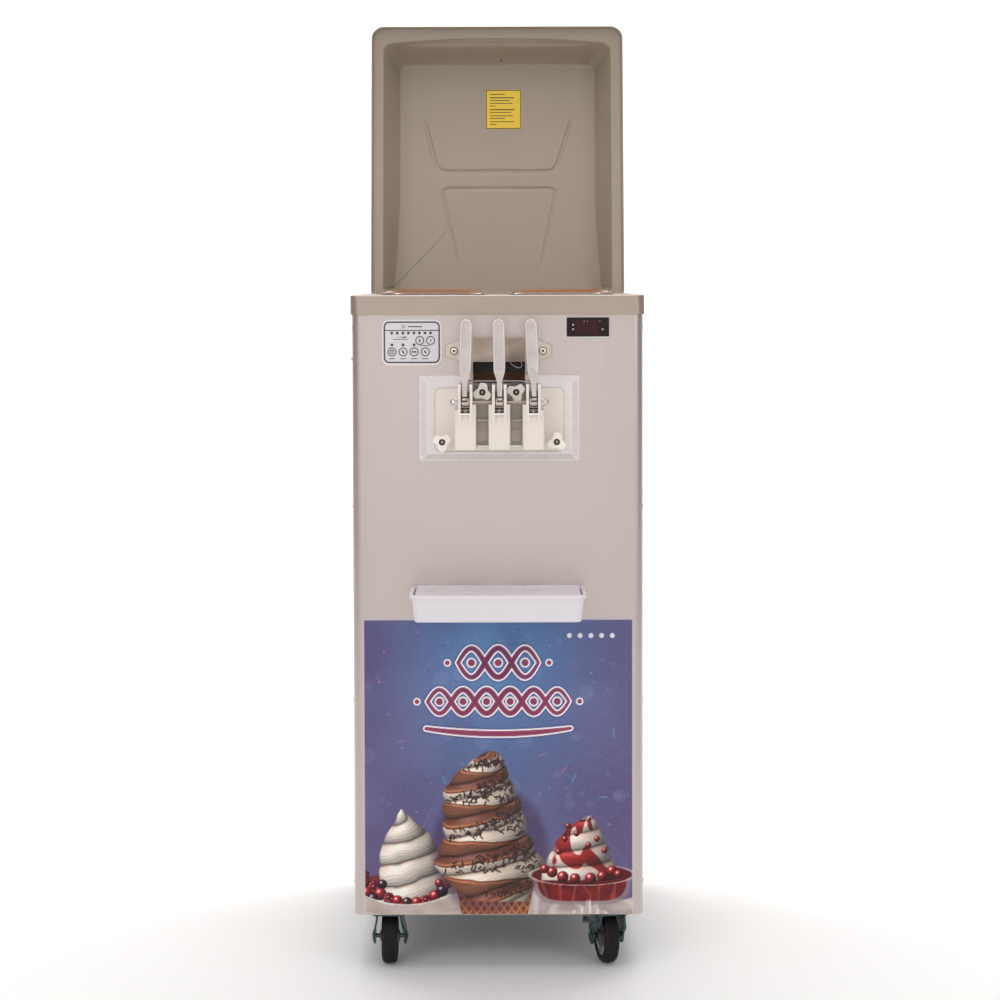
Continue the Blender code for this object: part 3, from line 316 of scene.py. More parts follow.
def plate(loops, thickness):
    """A flat outline, with any further loops as holes, as thick as stated about its own plane."""
    curve = bpy.data.curves.new("outline", "CURVE")
    curve.dimensions = "2D"
    curve.fill_mode = "BOTH"
    curve.extrude = thickness / 2
    for loop in loops:
        spline = curve.splines.new("POLY")
        spline.points.add(len(loop) - 1)
        for point, (x, y) in zip(spline.points, loop):
            point.co = (x, y, 0.0, 1.0)
        spline.use_cyclic_u = True
    drawn = bpy.data.objects.new("outline", curve)
    bpy.context.scene.collection.objects.link(drawn)
    bpy.context.view_layer.update()
    mesh = bpy.data.meshes.new_from_object(drawn.evaluated_get(bpy.context.evaluated_depsgraph_get()))
    bpy.data.objects.remove(drawn, do_unlink=True)
    bm = bmesh.new()
    bm.from_mesh(mesh)
    bpy.data.meshes.remove(mesh)
    bmesh.ops.remove_doubles(bm, verts=bm.verts, dist=0.000002)
    return from_bmesh("plate", bm)


def moved(obj, matrix):
    obj.data.transform(matrix)
    return obj


def front_plate(loops, depth_back, depth_front):
    """An outline of (x, z) points, standing in front of the cabinet between two depths."""
    y = FRONT - (depth_back + depth_front) / 2
    return moved(plate(loops, depth_front - depth_back), shift((0, y, 0)) @ FACE_FRONT)


def side_plate(loops, x0, x1):
    """An outline of (y, z) points, standing between two x planes."""
    return moved(plate(loops, x1 - x0), shift(((x0 + x1) / 2, 0, 0)) @ FACE_SIDE)


def flat_plate(loops, z0, z1):
    return moved(plate(loops, z1 - z0), shift((0, 0, (z0 + z1) / 2)))


def loft(rings, closed=False):
    """Skins a run of rings with equal counts of points; the two ends are capped unless it closes."""
    bm = bmesh.new()
    rows = [[bm.verts.new(point) for point in ring] for ring in rings]
    pairs = list(zip(rows, rows[1:])) + ([(rows[-1], rows[0])] if closed else [])
    for lower, upper in pairs:
        for i in range(len(lower)):
            j = (i + 1) % len(lower)
            bm.faces.new((lower[i], lower[j], upper[j], upper[i]))
    if not closed:
        bm.faces.new(rows[0])
        bm.faces.new(rows[-1])
    return from_bmesh("loft", bm)


def turned(profile, steps=64):
    """A profile of (radius, height) about Z; it closes on itself unless it ends on the axis."""
    bm = bmesh.new()
    columns = []
    for radius, height in profile:
        if radius < 1e-7:
            columns.append([bm.verts.new((0, 0, height))] * steps)
        else:
            columns.append([bm.verts.new((radius * cos(2 * pi * i / steps),
                                          radius * sin(2 * pi * i / steps), height))
                            for i in range(steps)])
    pairs = list(zip(columns, columns[1:]))
    if profile[0][0] >= 1e-7 and profile[-1][0] >= 1e-7:
        pairs.append((columns[-1], columns[0]))
    for a, b in pairs:
        for i in range(steps):
            j = (i + 1) % steps
            corners = list(dict.fromkeys((a[i], a[j], b[j], b[i])))
            if len(corners) > 2:
                bm.faces.new(corners)
    return from_bmesh("turned", bm)


def flats(obj, across, beyond, low=-1.0, high=1.0):
    """Cuts six wrench flats into a turned piece, on what lies beyond a radius and between two heights."""
    for vertex in obj.data.vertices:
        x, y, z = vertex.co
        radius = hypot(x, y)
        if radius > beyond and low < z < high:
            flat = across / cos((atan2(y, x) + pi / 6) % (pi / 3) - pi / 6)
            vertex.co = (x * min(1.0, flat / radius), y * min(1.0, flat / radius), z)


def tube(points, radius, sides=12):
    """A round wire along a run of points."""
    points = [Vector(p) for p in points]
    rings = []
    side = Vector((0, 0, 1)) if abs((points[1] - points[0]).normalized().z) < 0.9 else Vector((1, 0, 0))
    for i, point in enumerate(points):
        along = (points[min(i + 1, len(points) - 1)] - points[max(i - 1, 0)]).normalized()
        side = (side - along * side.dot(along)).normalized()
        other = along.cross(side)
        rings.append([point + radius * (cos(2 * pi * k / sides) * side + sin(2 * pi * k / sides) * other)
                      for k in range(sides)])
    return loft(rings)


def boolean(target, operation, *others):
    """Joins or cuts meshes at once, and removes the other ones."""
    for other in others:
        modifier = target.modifiers.new("boolean", "BOOLEAN")
        modifier.operation = operation
        modifier.solver = "EXACT"
        modifier.object = other
        bpy.context.view_layer.update()
        mesh = bpy.data.meshes.new_from_object(target.evaluated_get(bpy.context.evaluated_depsgraph_get()))
        target.modifiers.clear()
        old, target.data = target.data, mesh
        bpy.data.meshes.remove(old)
        bpy.data.objects.remove(other, do_unlink=True)
    return target


def join(target, *others):
    return boolean(target, "UNION", *others)


def cut(target, *others):
    return boolean(target, "DIFFERENCE", *others)


def soft(obj, width=0.0, segments=3, angle=32):
    """Rounds the edges sharper than an angle with a bevel, and shades the rest smooth."""
    for polygon in obj.data.polygons:
        polygon.use_smooth = True
    if width:
        bevel = obj.modifiers.new("edges", "BEVEL")
        bevel.width = width
        bevel.segments = segments
        bevel.limit_method = "ANGLE"
        bevel.angle_limit = radians(angle)
        bevel.miter_outer = "MITER_ARC"
        weigh = obj.modifiers.new("weigh", "WEIGHTED_NORMAL")
        weigh.weight = 100
    else:
        split = obj.modifiers.new("split", "EDGE_SPLIT")
        split.split_angle = radians(angle)
    return obj


def baked(obj):
    """Applies a piece's modifiers to its mesh."""
    bpy.context.view_layer.update()
    mesh = bpy.data.meshes.new_from_object(obj.evaluated_get(bpy.context.evaluated_depsgraph_get()))
    obj.modifiers.clear()
    obj.data = mesh
    return obj


def gathered(*parts):
    """Puts (object, material) pairs in one mesh, each with its own material; None keeps the object's own."""
    bm = bmesh.new()
    materials = []
    for obj, material in parts:
        own = list(obj.data.materials) if material is None else [material]
        if obj.modifiers:
            baked(obj)
        for each in own:
            if each not in materials:
                materials.append(each)
        start = len(bm.faces)
        bm.from_mesh(obj.data)
        bm.faces.ensure_lookup_table()
        for face in bm.faces[start:]:
            face.material_index = materials.index(own[face.material_index if material is None else 0])
        bpy.data.objects.remove(obj, do_unlink=True)
    mesh = bpy.data.meshes.new("gathered")
    bm.to_mesh(mesh)
    bm.free()
    for material in materials:
        mesh.materials.append(material)
    obj = bpy.data.objects.new("gathered", mesh)
    bpy.context.scene.collection.objects.link(obj)
    split = obj.modifiers.new("split", "EDGE_SPLIT")
    split.split_angle = radians(32)
    return obj


def place(obj, name, body, slot, *nodes, material=None):
    """Names a finished piece, hangs it on the body it rides on and hides the CAD nodes it stands for; the
    slot is not used.
    """
    obj.name = name
    obj.data.name = name
    if material is not None:
        obj.data.materials.clear()
        obj.data.materials.append(material)
    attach(obj, body)
    if nodes:
        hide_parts(*nodes)
    return obj


def dress(node, material, width=0.0, angle=32):
    """A CAD node whose shape is right: it gets its finish, smooth shading and soft edges."""
    obj = NODES[node]
    obj.data.materials.clear()
    obj.data.materials.append(material)
    if "custom_normal" in obj.data.attributes:
        obj.data.attributes.remove(obj.data.attributes["custom_normal"])
    weld = obj.modifiers.new("weld", "WELD")
    weld.merge_threshold = 0.00001
    soft(obj, width, 2, angle)
    return obj


# ---- stage, camera and lights --------------------------------------------------------------------
def build_stage():
    """A pale floor that curves up into a backdrop."""
    profile = [(-9.0, 0.0), (3.2, 0.0), *[(3.2 + 2.5 * sin(a), 2.5 - 2.5 * cos(a))
                                           for a in [pi / 2 * i / 16 for i in range(1, 17)]], (5.7, 9.0)]
    bm = bmesh.new()
    rows = [[bm.verts.new((x, y, z)) for x in (-12.0, 12.0)] for y, z in profile]
    for a, b in zip(rows, rows[1:]):
        bm.faces.new((a[0], a[1], b[1], b[0]))
    floor = from_bmesh("studio_floor", bm)
    soft(floor)
    paper = Finish("studio_paper", (0.88, 0.875, 0.87), 0.85)
    paper.tint(paper.grain((2.0, 2.0, 2.0), 3.0), (0.86, 0.855, 0.85), 0.3)
    floor.data.materials.append(paper.material)


def area_light(name, location, target, size, power, colour=(1, 1, 1)):
    light = bpy.data.lights.new(name, "AREA")
    light.shape = "RECTANGLE"
    light.size, light.size_y = size
    light.energy = power
    light.color = colour
    obj = bpy.data.objects.new(name, light)
    bpy.context.scene.collection.objects.link(obj)
    obj.location = location
    direction = Vector(target) - Vector(location)
    obj.rotation_euler = direction.to_track_quat("-Z", "Y").to_euler()
    return obj


def build_lights():
    world = bpy.data.worlds.new("studio")
    bpy.context.scene.world = world
    world.use_nodes = True
    tree = world.node_tree
    tree.nodes["Background"].inputs["Strength"].default_value = 0.64
    split = tree.nodes.new("ShaderNodeSeparateXYZ")
    tree.links.new(tree.nodes.new("ShaderNodeTexCoord").outputs["Generated"], split.inputs[0])
    side = tree.nodes.new("ShaderNodeMath")
    side.operation = "ABSOLUTE"
    tree.links.new(split.outputs["X"], side.inputs[0])
    ramp = tree.nodes.new("ShaderNodeValToRGB")
    ramp.color_ramp.elements[0].position, ramp.color_ramp.elements[0].color = 0.55, (1.0, 0.985, 0.97, 1.0)
    ramp.color_ramp.elements[1].position, ramp.color_ramp.elements[1].color = 0.92, (0.30, 0.285, 0.275, 1.0)
    tree.links.new(side.outputs[0], ramp.inputs["Fac"])
    tree.links.new(ramp.outputs["Color"], tree.nodes["Background"].inputs["Color"])
    area_light("key", (-2.6, -4.4, 3.0), (0.0, 0.0, 0.9), (2.2, 2.2), 40.0)
    area_light("fill", (3.0, -4.0, 2.2), (0.0, 0.0, 0.8), (2.2, 2.6), 22.0)
    area_light("top", (0.0, -0.8, 4.2), (0.0, 0.0, 1.0), (3.0, 2.0), 30.0)
    area_light("backdrop_wash", (0.0, 1.6, 5.2), (0.0, 5.0, 0.6), (6.0, 1.5), 260.0)
    area_light("front_low", (0.0, -5.2, 0.9), (0.0, 0.0, 0.4), (3.0, 1.2), 8.0)


def build_camera():
    camera = bpy.data.objects.new("camera", bpy.data.cameras.new("camera"))
    bpy.context.scene.collection.objects.link(camera)
    camera.location = (0.005, -4.304, 1.275)
    camera.rotation_euler = (radians(90.0 - 2.1), radians(0.14), 0.0)
    camera.data.lens = 78.66
    camera.data.sensor_width = 36.0
    camera.data.shift_y = -0.138
    bpy.context.scene.camera = camera
    bpy.context.scene.view_settings.view_transform = "Standard"


# ---- dispensing head -----------------------------------------------------------------------------
def build_bezel():
    """The bevelled frame that stands on the front sheet round the head."""
    (x0, z0), (x1, z1) = (-0.1437, 0.9465), (0.1503, 1.1042)

    def ring(inset, depth):
        line = rounded_rect(x0 + inset, x1 - inset, z0 + inset, z1 - inset, 0.0045, 8)
        return [(x, FRONT - depth, z) for x, z in line]

    def hole(depth, grow=0.0):
        across = 0.1180 + grow
        line = rounded_rect(HEAD_X - across, HEAD_X + across, 0.9653 - grow, 1.0815 + grow, 0.0103, 8)
        return [(x, FRONT - depth, z) for x, z in line]

    bezel = loft([ring(0, 0.0003), ring(0, 0.0020), ring(0.0004, 0.0026), ring(0.0026, 0.0028),
                  ring(0.0030, 0.0031), ring(0.0122, 0.0126), ring(0.0128, 0.0132), ring(0.0136, 0.0138),
                  ring(0.0146, 0.0140), hole(0.0140, 0.0012), hole(0.0137, 0.0004), hole(0.0128),
                  hole(0.0003)], closed=True)
    place(soft(bezel, angle=24), "bezel_moulding", "cabinet", "white_plastic", "bezel_frame",
          material=WHITE_PLASTIC)


def valve_column(x):
    """The block and the clevis of one valve."""
    f = FRONT
    outline = [(x + 0.0198, f - 0.0105), (x - 0.0198, f - 0.0105),
               *arc((x - 0.0150, f - 0.0732), 0.0048, 180, 270, 6),
               *arc((x + 0.0150, f - 0.0732), 0.0048, 270, 360, 6)]
    block = flat_plate([outline], 0.973, 1.054)
    side = [(f - 0.0110, 1.0125), (f - 0.0775, 1.0125), (f - 0.0822, 1.0300), (f - 0.0825, 1.0340),
            (f - 0.0825, 1.0805), *arc((f - 0.0725, 1.0805), 0.010, 180, 90, 8)[1:], (f - 0.0150, 1.0905),
            (f - 0.0150, 1.0808), (f - 0.0110, 1.0808)]
    return join(block, side_plate([side], x - 0.013, x + 0.013))


def build_head():
    """The moulded valve block: a plate and three columns, with slots, scoops and seats for the nuts."""
    f = FRONT
    face = rounded_rect(HEAD_X - 0.11775, HEAD_X + 0.11775, 0.9656, 1.0812, 0.010, 8)
    head = front_plate([face], 0.0035, 0.0125)
    for _, x in VALVES:
        join(head, valve_column(x))
    for _, x in VALVES:
        cut(head, box((x - 0.0082, f - 0.0950, 1.0388), (x + 0.0082, f - 0.0440, 1.120)),
            rod((x, PLUNGER_Y, 1.0525), 0.0120, 0.144), rod((x, PLUNGER_Y, 0.975), 0.0085, 0.020))
        scoop = [(f - 0.0900, 1.0362), (f - 0.0762, 1.0362), (f - 0.0772, 1.0300), (f - 0.0786, 1.0100),
                 (f - 0.0900, 1.0100)]
        cut(head, side_plate([scoop], x - 0.0070, x + 0.0070))
    cut(head, rod((HEAD_X, PIVOT_Y, PIVOT_Z), 0.0046, 0.200, "x"))
    for side in (-1, 1):
        edges = sorted((HEAD_X + side * 0.0746, HEAD_X + side * 0.0846))
        cut(head, box((edges[0], f - 0.090, 1.0440), (edges[1], f - 0.055, 1.060)))
    soft(head, 0.0007, 2, 28)
    place(head, "valve_block", "cabinet", "cream_plastic", "dispensing_head", material=CREAM_PLASTIC)
    slot_rods_and_highlights = []
    for _, x in VALVES:
        # A white strip under each slot: a painted highlight on the lip's edge.
        lip = box((x - 0.0086, f - 0.0842, 1.0360), (x + 0.0086, f - 0.0822, 1.0388))
        slot_rods_and_highlights.append((soft(lip, 0.0003, 2), PALE_TRIM_AND_HIGHLIGHT))
        for z in (1.0438, 1.0492):
            slot_rods_and_highlights.append((soft(rod((x, f - 0.0752, z), 0.0012, 0.0160, "x", 20)), ROD_METAL))
    place(gathered(*slot_rods_and_highlights), "slot_rods_and_lip_highlights", "cabinet", "cream_plastic")

    for index, x in enumerate((HEAD_X - PITCH / 2, HEAD_X + PITCH / 2)):
        back = front_plate([rounded_rect(x - 0.0104, x + 0.0104, 0.9735, 1.0545, 0.001, 2)], 0.0126, 0.0140)
        parts = [(soft(back, 0.0003), PALE_GREEN)]
        for z0, z1, depth in ((1.0218, 1.0238, 0.0240), (0.9742, 0.9772, 0.0260), (1.0520, 1.0545, 0.0200)):
            rib = box((x - 0.0104, f - depth, z0), (x + 0.0104, f - 0.0130, z1))
            parts.append((soft(rib, 0.0004), PALE_TRIM_AND_HIGHLIGHT))
        for side in (-1, 1):
            edge = sorted((x + side * 0.0104, x + side * 0.0093))
            parts.append((soft(box((edge[0], f - 0.0180, 0.9760), (edge[1], f - 0.0130, 1.0530)), 0.0003),
                          CREAM_PLASTIC))
        for side in (-1, 1):
            parts.append((soft(box((x + side * 0.0082 - 0.0004, f - 0.0160, 0.9780),
                                   (x + side * 0.0082 + 0.0004, f - 0.0138, 1.0500)), 0.0002), PALE_GREEN))
        boss = [(x - 0.0088, 0.9835), (x + 0.0088, 0.9835), (x + 0.0088, 1.0030),
                *arc((x, 0.9950), 0.0118, 42, 138, 8), (x - 0.0088, 1.0030)]
        parts.append((soft(front_plate([boss], 0.0138, 0.0156), 0.0005), PALE_GREEN))
        place(gathered(*parts), f"head_panel_{index + 1}", "cabinet", "cream_plastic")


def lever_ring(half_width, thickness, height, dish):
    """One level of a lever's handle: a squarish oval whose front is hollowed by a shallow dish."""
    ring = []
    for i in range(40):
        a = 2 * pi * i / 40
        x = half_width * abs(cos(a)) ** 0.42 * (1 if cos(a) >= 0 else -1)
        y = thickness / 2 * abs(sin(a)) ** 0.42 * (1 if sin(a) >= 0 else -1)
        if y < 0:
            y += dish * max(0.0, 1.0 - (x / (0.72 * half_width)) ** 2) ** 0.5
        ring.append((x, y, height))
    return ring


LEVER_LEAN = {"left": (1.5, -0.0016), "center": (-0.85, 0.0010), "right": (-2.5, 0.0016)}
LEVER_LINE = [(0.0000, 0.0042, 0.0078, 0.0), (0.0200, 0.0043, 0.0078, 0.0), (0.0340, 0.0046, 0.0080, 0.0),
              (0.0410, 0.0056, 0.0084, 0.0002), (0.0470, 0.0074, 0.0088, 0.0004),
              (0.0540, 0.0096, 0.0090, 0.0006), (0.0590, 0.0105, 0.0090, 0.0007),
              (0.0700, 0.0107, 0.0090, 0.0008), (0.1000, 0.0108, 0.0090, 0.0008),
              (0.1300, 0.0109, 0.0090, 0.0008), (0.1390, 0.0109, 0.0090, 0.0007)]


def build_levers():
    for name, x in VALVES:
        lean, offset = LEVER_LEAN[name]
        stand = (shift((x + offset, PIVOT_Y - 0.0085, PIVOT_Z))
                 @ spin(lean, "Y"))
        rings = []
        for (h0, w0, t0, d0), (h1, w1, t1, d1) in zip(LEVER_LINE, LEVER_LINE[1:]):
            steps = max(2, round((h1 - h0) / 0.003))
            for i in range(steps):
                t = i / steps
                rings.append(lever_ring(w0 + (w1 - w0) * t, t0 + (t1 - t0) * t, h0 + (h1 - h0) * t,
                                        d0 + (d1 - d0) * t))
        for i in range(13):
            a = pi / 2 * i / 12.6
            rings.append(lever_ring(0.0109 * cos(a), 0.0090 * max(0.35, cos(a) ** 0.5),
                                    0.1390 + 0.0106 * sin(a),
                                    0.0007 * cos(a)))
        stem = moved(loft(rings), stand)
        boss = soft(rod((x, PIVOT_Y, PIVOT_Z), 0.0080, 0.0138, "x"), 0.0010, 2)
        tail = soft(box((x - 0.0035, PIVOT_Y + 0.0050, PIVOT_Z - 0.0032),
                        (x + 0.0035, PIVOT_Y + 0.0197, PIVOT_Z + 0.0032)), 0.0008, 2)
        rivet = turned([(0.0, 0.0012), (0.0012, 0.0010), (0.0018, 0.0004), (0.0019, -0.0010),
                        (0.0, -0.0010)], 24)
        moved(rivet, stand @ shift((0.0, -0.0042, 0.0606)) @ FACE_FRONT)
        stem.data.materials.append(LEVER_METAL)
        stem.data.materials.append(LEVER_SIDE_HIGHLIGHT)
        # Faces turned to the sides take the lighter copy: a painted highlight along each lever's edges.
        for polygon in stem.data.polygons:
            polygon.material_index = int(abs(polygon.normal.x) > 0.30)
        # Two dark bands round each lever's foot, down in its slot: painted shade.
        foot_shades = []
        for height in (0.0010, 0.0080):
            band = soft(box((-0.0052, -0.0046, height), (0.0052, 0.0046, height + 0.0030)), 0.0006, 2)
            foot_shades.append((moved(band, stand), RECESS_SHADE))
        lever = gathered((soft(stem, angle=50), None), (boss, LEVER_METAL), (tail, LEVER_METAL),
                         (rivet, NUT_METAL), *foot_shades)
        place(lever, "handle_" + name, "handle_" + name, "cast_lever", "lever_" + name)


def build_pivot():
    for name, side in (("left", -1), ("right", 1)):
        nut = turned([(0.0, 0.0145), (0.0020, 0.0143), (0.0038, 0.0134), (0.0052, 0.0118), (0.0060, 0.0096),
                      (0.0063, 0.0068), (0.0066, 0.0062), (0.0074, 0.0060), (0.0080, 0.0052),
                      (0.0080, 0.0006), (0.0074, 0.0), (0.0054, 0.0), (0.0054, 0.0100), (0.0, 0.0110)], 48)
        flats(nut, 0.0069, 0.0070)
        moved(nut, shift((HEAD_X + side * (PITCH + 0.0133), PIVOT_Y, PIVOT_Z))
              @ spin(side * 90, "Y"))
        place(soft(nut), "dome_nut_" + name, "cabinet", "aluminium", "acorn_nut_" + name, material=NUT_METAL)
    pin = rod((HEAD_X, PIVOT_Y, PIVOT_Z), 0.0024, 2 * (PITCH + 0.0215), "x", 24)
    shaft = [(soft(pin), ROD_METAL)]
    for _, x in VALVES:
        shaft.append((soft(rod((x, PIVOT_Y, PIVOT_Z), 0.0040, 0.0200, "x", 32)), ROD_METAL))
    place(gathered(*shaft), "lever_pin", "cabinet", "aluminium", "pivot_rod")
    for name, x in VALVES:
        r, waist = 0.0115, 0.0070
        plunger = turned([(0.0, 0.0980), (r - 0.0008, 0.0980), (r, 0.0972), (r, 0.0838),
                          (r - 0.0006, 0.0830), (waist, 0.0830), (waist, 0.0730), (r - 0.0006, 0.0730),
                          (r, 0.0724), (r, 0.0690), (r - 0.0025, 0.0690), (r - 0.0025, 0.0650), (r, 0.0650),
                          (r, 0.0040), (r - 0.0035, 0.0), (0.0, 0.0)], 40)
        ring = turned([(r - 0.0022 + 0.0018 * cos(a), 0.0670 + 0.0018 * sin(a))
                       for a in [2 * pi * i / 12 for i in range(12)]], 40)
        both = gathered((soft(plunger), NUT_METAL), (ring, RUBBER))
        moved(both, shift((x, PLUNGER_Y, 0.9800)))
        place(both, "valve_plunger_" + name, "valve_" + name, "aluminium", "plunger_" + name)


KNOBS = [("top_left", HEAD_X - PITCH / 2, 1.0748, 83), ("top_right", HEAD_X + PITCH / 2, 1.0748, 41),
         ("bottom_left", HEAD_X - 0.1043, 0.984, 34), ("bottom_right", HEAD_X + 0.1043, 0.984, 85)]


def build_knobs():
    """Three-lobed hand nuts: broad flat lobes, waisted sides, and a near-black disc of painted shade in the
    well, with the stud's end in it.
    """
    for name, x, z, turn in KNOBS:
        corners = []
        for lobe in range(3):
            for offset, radius in ((-21, 0.0174), (0, 0.0168), (21, 0.0174), (41, 0.0122), (60, 0.0102),
                                   (79, 0.0122)):
                a = radians(turn + 120 * lobe + offset)
                corners.append((radius * cos(a), radius * sin(a)))
        outline = [(u * 1.02, v * 1.02) for u, v in smoothed(corners, 3)]
        body = moved(plate([outline], 0.0110), shift((0, -0.0055, 0)) @ FACE_FRONT)
        cut(body, rod((0, -0.0095, 0), 0.0060, 0.0110, "y", 40))
        soft(body, 0.0015, 4, 40)
        # Painted shade: a near-black disc in the knob's well and a dark nut on the stud.
        well = rod((0, -0.0040, 0), 0.0059, 0.0020, "y", 40)
        neck = rod((0, 0.0090, 0), 0.0068, 0.0190, "y", 40)
        stud = soft(rod((0, -0.0055, 0), 0.0026, 0.0060, "y", 24), 0.0006, 2)
        nut = soft(rod((0, -0.0060, 0), 0.0048, 0.0020, "y", 6), 0.0004, 2)
        knob = gathered((body, KNOB_PLASTIC), (neck, KNOB_PLASTIC), (well, RECESS_SHADE), (stud, ROD_METAL),
                        (nut, RECESS_SHADE))
        moved(knob, shift((x, FRONT - 0.0325, z)))
        place(knob, "lobed_nut_" + name, "hand_nut_" + name, "cream_plastic", "knob_" + name)


# ---- controls ------------------------------------------------------------------------------------
def bar(x0, x1, z0, z1, depth, thick=0.0002, radius=0.0):
    line = rounded_rect(x0, x1, z0, z1, radius, 4) if radius else rectangle(x0, x1, z0, z1)
    return front_plate([line], depth, depth + thick)


def disc(x, z, radius, depth, thick=0.0002, inner=0.0):
    loops = [circle(x, z, radius, 36)] + ([circle(x, z, inner, 36)] if inner else [])
    return front_plate(loops, depth, depth + thick)


def shape(points, depth, thick=0.0002):
    return front_plate([points], depth, depth + thick)


def build_key_panel():
    """The key panel: a white plate with a printed border, lamps, six round keys and plain marks."""
    base = soft(bar(-0.2116, -0.1013, 1.1216, 1.2069, 0.0003, 0.0018, 0.0132), 0.0007, 3)
    face = bar(-0.2086, -0.1052, 1.1266, 1.2030, 0.0021, 0.0002, 0.0100)
    border = front_plate([rounded_rect(-0.2084, -0.1054, 1.1266, 1.2030, 0.0100, 8),
                          rounded_rect(-0.2058, -0.1080, 1.1292, 1.2004, 0.0078, 8)], 0.0023, 0.0025)
    ink_depth = 0.0023
    parts = [(base, WHITE_PLASTIC), (face, KEY_WHITE), (border, KEY_INK)]
    ink = [bar(-0.2066, -0.1072, 1.1856, 1.1872, ink_depth)]
    ink += [disc(-0.1936 + 0.01016 * i, 1.1818, 0.0025, ink_depth, 0.0004) for i in range(8)]
    ink += [disc(x, 1.1602, 0.0025, ink_depth, 0.0004) for x in (-0.1932, -0.1729, -0.1527)]
    keys = [(-0.1423, 1.1681), (-0.1225, 1.1681), (-0.1932, 1.1472), (-0.1729, 1.1472), (-0.1527, 1.1472),
            (-0.1322, 1.1472)]
    for x, z in keys:
        ink.append(disc(x, z, 0.0081, ink_depth, 0.0005, 0.0066))
    ink += [bar(-0.1843, -0.1690, 1.1739, 1.1745, ink_depth),
            shape([(-0.1760, 1.1734), (-0.1680, 1.1731), (-0.1655, 1.1742), (-0.1680, 1.1753),
                   (-0.1760, 1.1748)], ink_depth)]
    ink += [bar(-0.1920, -0.1640, 1.1696, 1.1706, ink_depth),
            bar(-0.1415, -0.1240, 1.1580, 1.1592, ink_depth)]
    ink += [bar(x - 0.0058, x + 0.0058, 1.1342, 1.1354, ink_depth)
            for x in (-0.1932, -0.1729, -0.1527, -0.1322)]
    ink += [bar(-0.1640, -0.1380, 1.1925, 1.1943, ink_depth, radius=0.0006),
            disc(-0.1725, 1.1934, 0.0030, ink_depth, inner=0.0020)]
    ink += [shape([(-0.1423, 1.1716), (-0.1438, 1.1684), (-0.1430, 1.1650), (-0.1416, 1.1650),
                   (-0.1408, 1.1684)], ink_depth),
            shape([(-0.1245, 1.1700), (-0.1205, 1.1700), (-0.1217, 1.1680), (-0.1225, 1.1655),
                   (-0.1233, 1.1680)], ink_depth),
            disc(-0.1932, 1.1472, 0.0038, ink_depth, inner=0.0024),
            bar(-0.1936, -0.1928, 1.1470, 1.1520, ink_depth),
            shape([(-0.1757, 1.1500), (-0.1735, 1.1506), (-0.1700, 1.1450), (-0.1712, 1.1436),
                   (-0.1738, 1.1452)], ink_depth),
            disc(-0.1550, 1.1472, 0.0018, ink_depth), disc(-0.1504, 1.1472, 0.0018, ink_depth),
            bar(-0.1550, -0.1504, 1.1467, 1.1477, ink_depth),
            shape([(-0.1352, 1.1476), (-0.1328, 1.1504), (-0.1312, 1.1474), (-0.1290, 1.1434),
                   (-0.1325, 1.1452)], ink_depth)]
    parts += [(piece, KEY_INK) for piece in ink]
    place(gathered(*parts), "key_panel", "cabinet", "panel_black", "control_panel")


def build_display():
    """The panel thermostat: a black front, a dark window and a few small marks."""
    body = soft(bar(0.1269, 0.2044, 1.1748, 1.2094, 0.0003, 0.0046, 0.0012), 0.0010, 3)
    rim = front_plate([rounded_rect(0.1269, 0.2044, 1.1748, 1.2094, 0.0012, 4),
                       rounded_rect(0.1283, 0.2030, 1.1762, 1.2080, 0.0010, 4)], 0.0048, 0.0060)
    parts = [(body, DISPLAY_BLACK), (soft(rim, 0.0003), BLACK),
             (bar(0.1446, 0.1828, 1.1800, 1.2046, 0.0049, 0.0004, 0.0010), LAMP_RED),
             (bar(0.1243, 0.1267, 1.1740, 1.2100, 0.0003, 0.0012), PALE_TRIM_AND_HIGHLIGHT),
             (bar(0.1262, 0.2050, 1.1722, 1.1746, 0.0003, 0.0012), PALE_TRIM_AND_HIGHLIGHT)]
    for x, z, way in ((0.1386, 1.1966, 1), (0.1386, 1.1876, -1), (0.1925, 1.1876, -1)):
        parts.append((shape([(x - 0.0020, z - way * 0.0014), (x + 0.0020, z - way * 0.0014),
                             (x, z + way * 0.0018)][::way], 0.0049), KEY_WHITE))
    for x in (0.1589, 0.1644):
        parts.append((disc(x, 1.2028, 0.0010, 0.0053), MARK_GREY))
    parts.append((bar(0.1862, 0.1884, 1.2020, 1.2036, 0.0049), MARK_GREY))
    place(gathered(*parts), "panel_thermostat", "cabinet", "panel_black", "temperature_display")


def screw(radius, height, material, recess="cross"):
    """A pan-head screw about +Z with its underside at zero."""
    head = turned([(0.0, height), (radius * 0.45, height * 0.97), (radius * 0.75, height * 0.80),
                   (radius * 0.93, height * 0.52), (radius, height * 0.15), (radius, 0.0), (0.0, 0.0)], 40)
    if recess == "cross":
        size = radius * 0.52
        cross = box((-size, -radius * 0.11, height * 0.45), (size, radius * 0.11, height * 1.5))
        join(cross, box((-radius * 0.11, -size, height * 0.45), (radius * 0.11, size, height * 1.5)))
        cut(head, cross)
    else:
        cut(head, rod((0, 0, height), radius * 0.42, height * 1.3, "z", 6))
    return gathered((soft(head, radius * 0.03, 2), material))


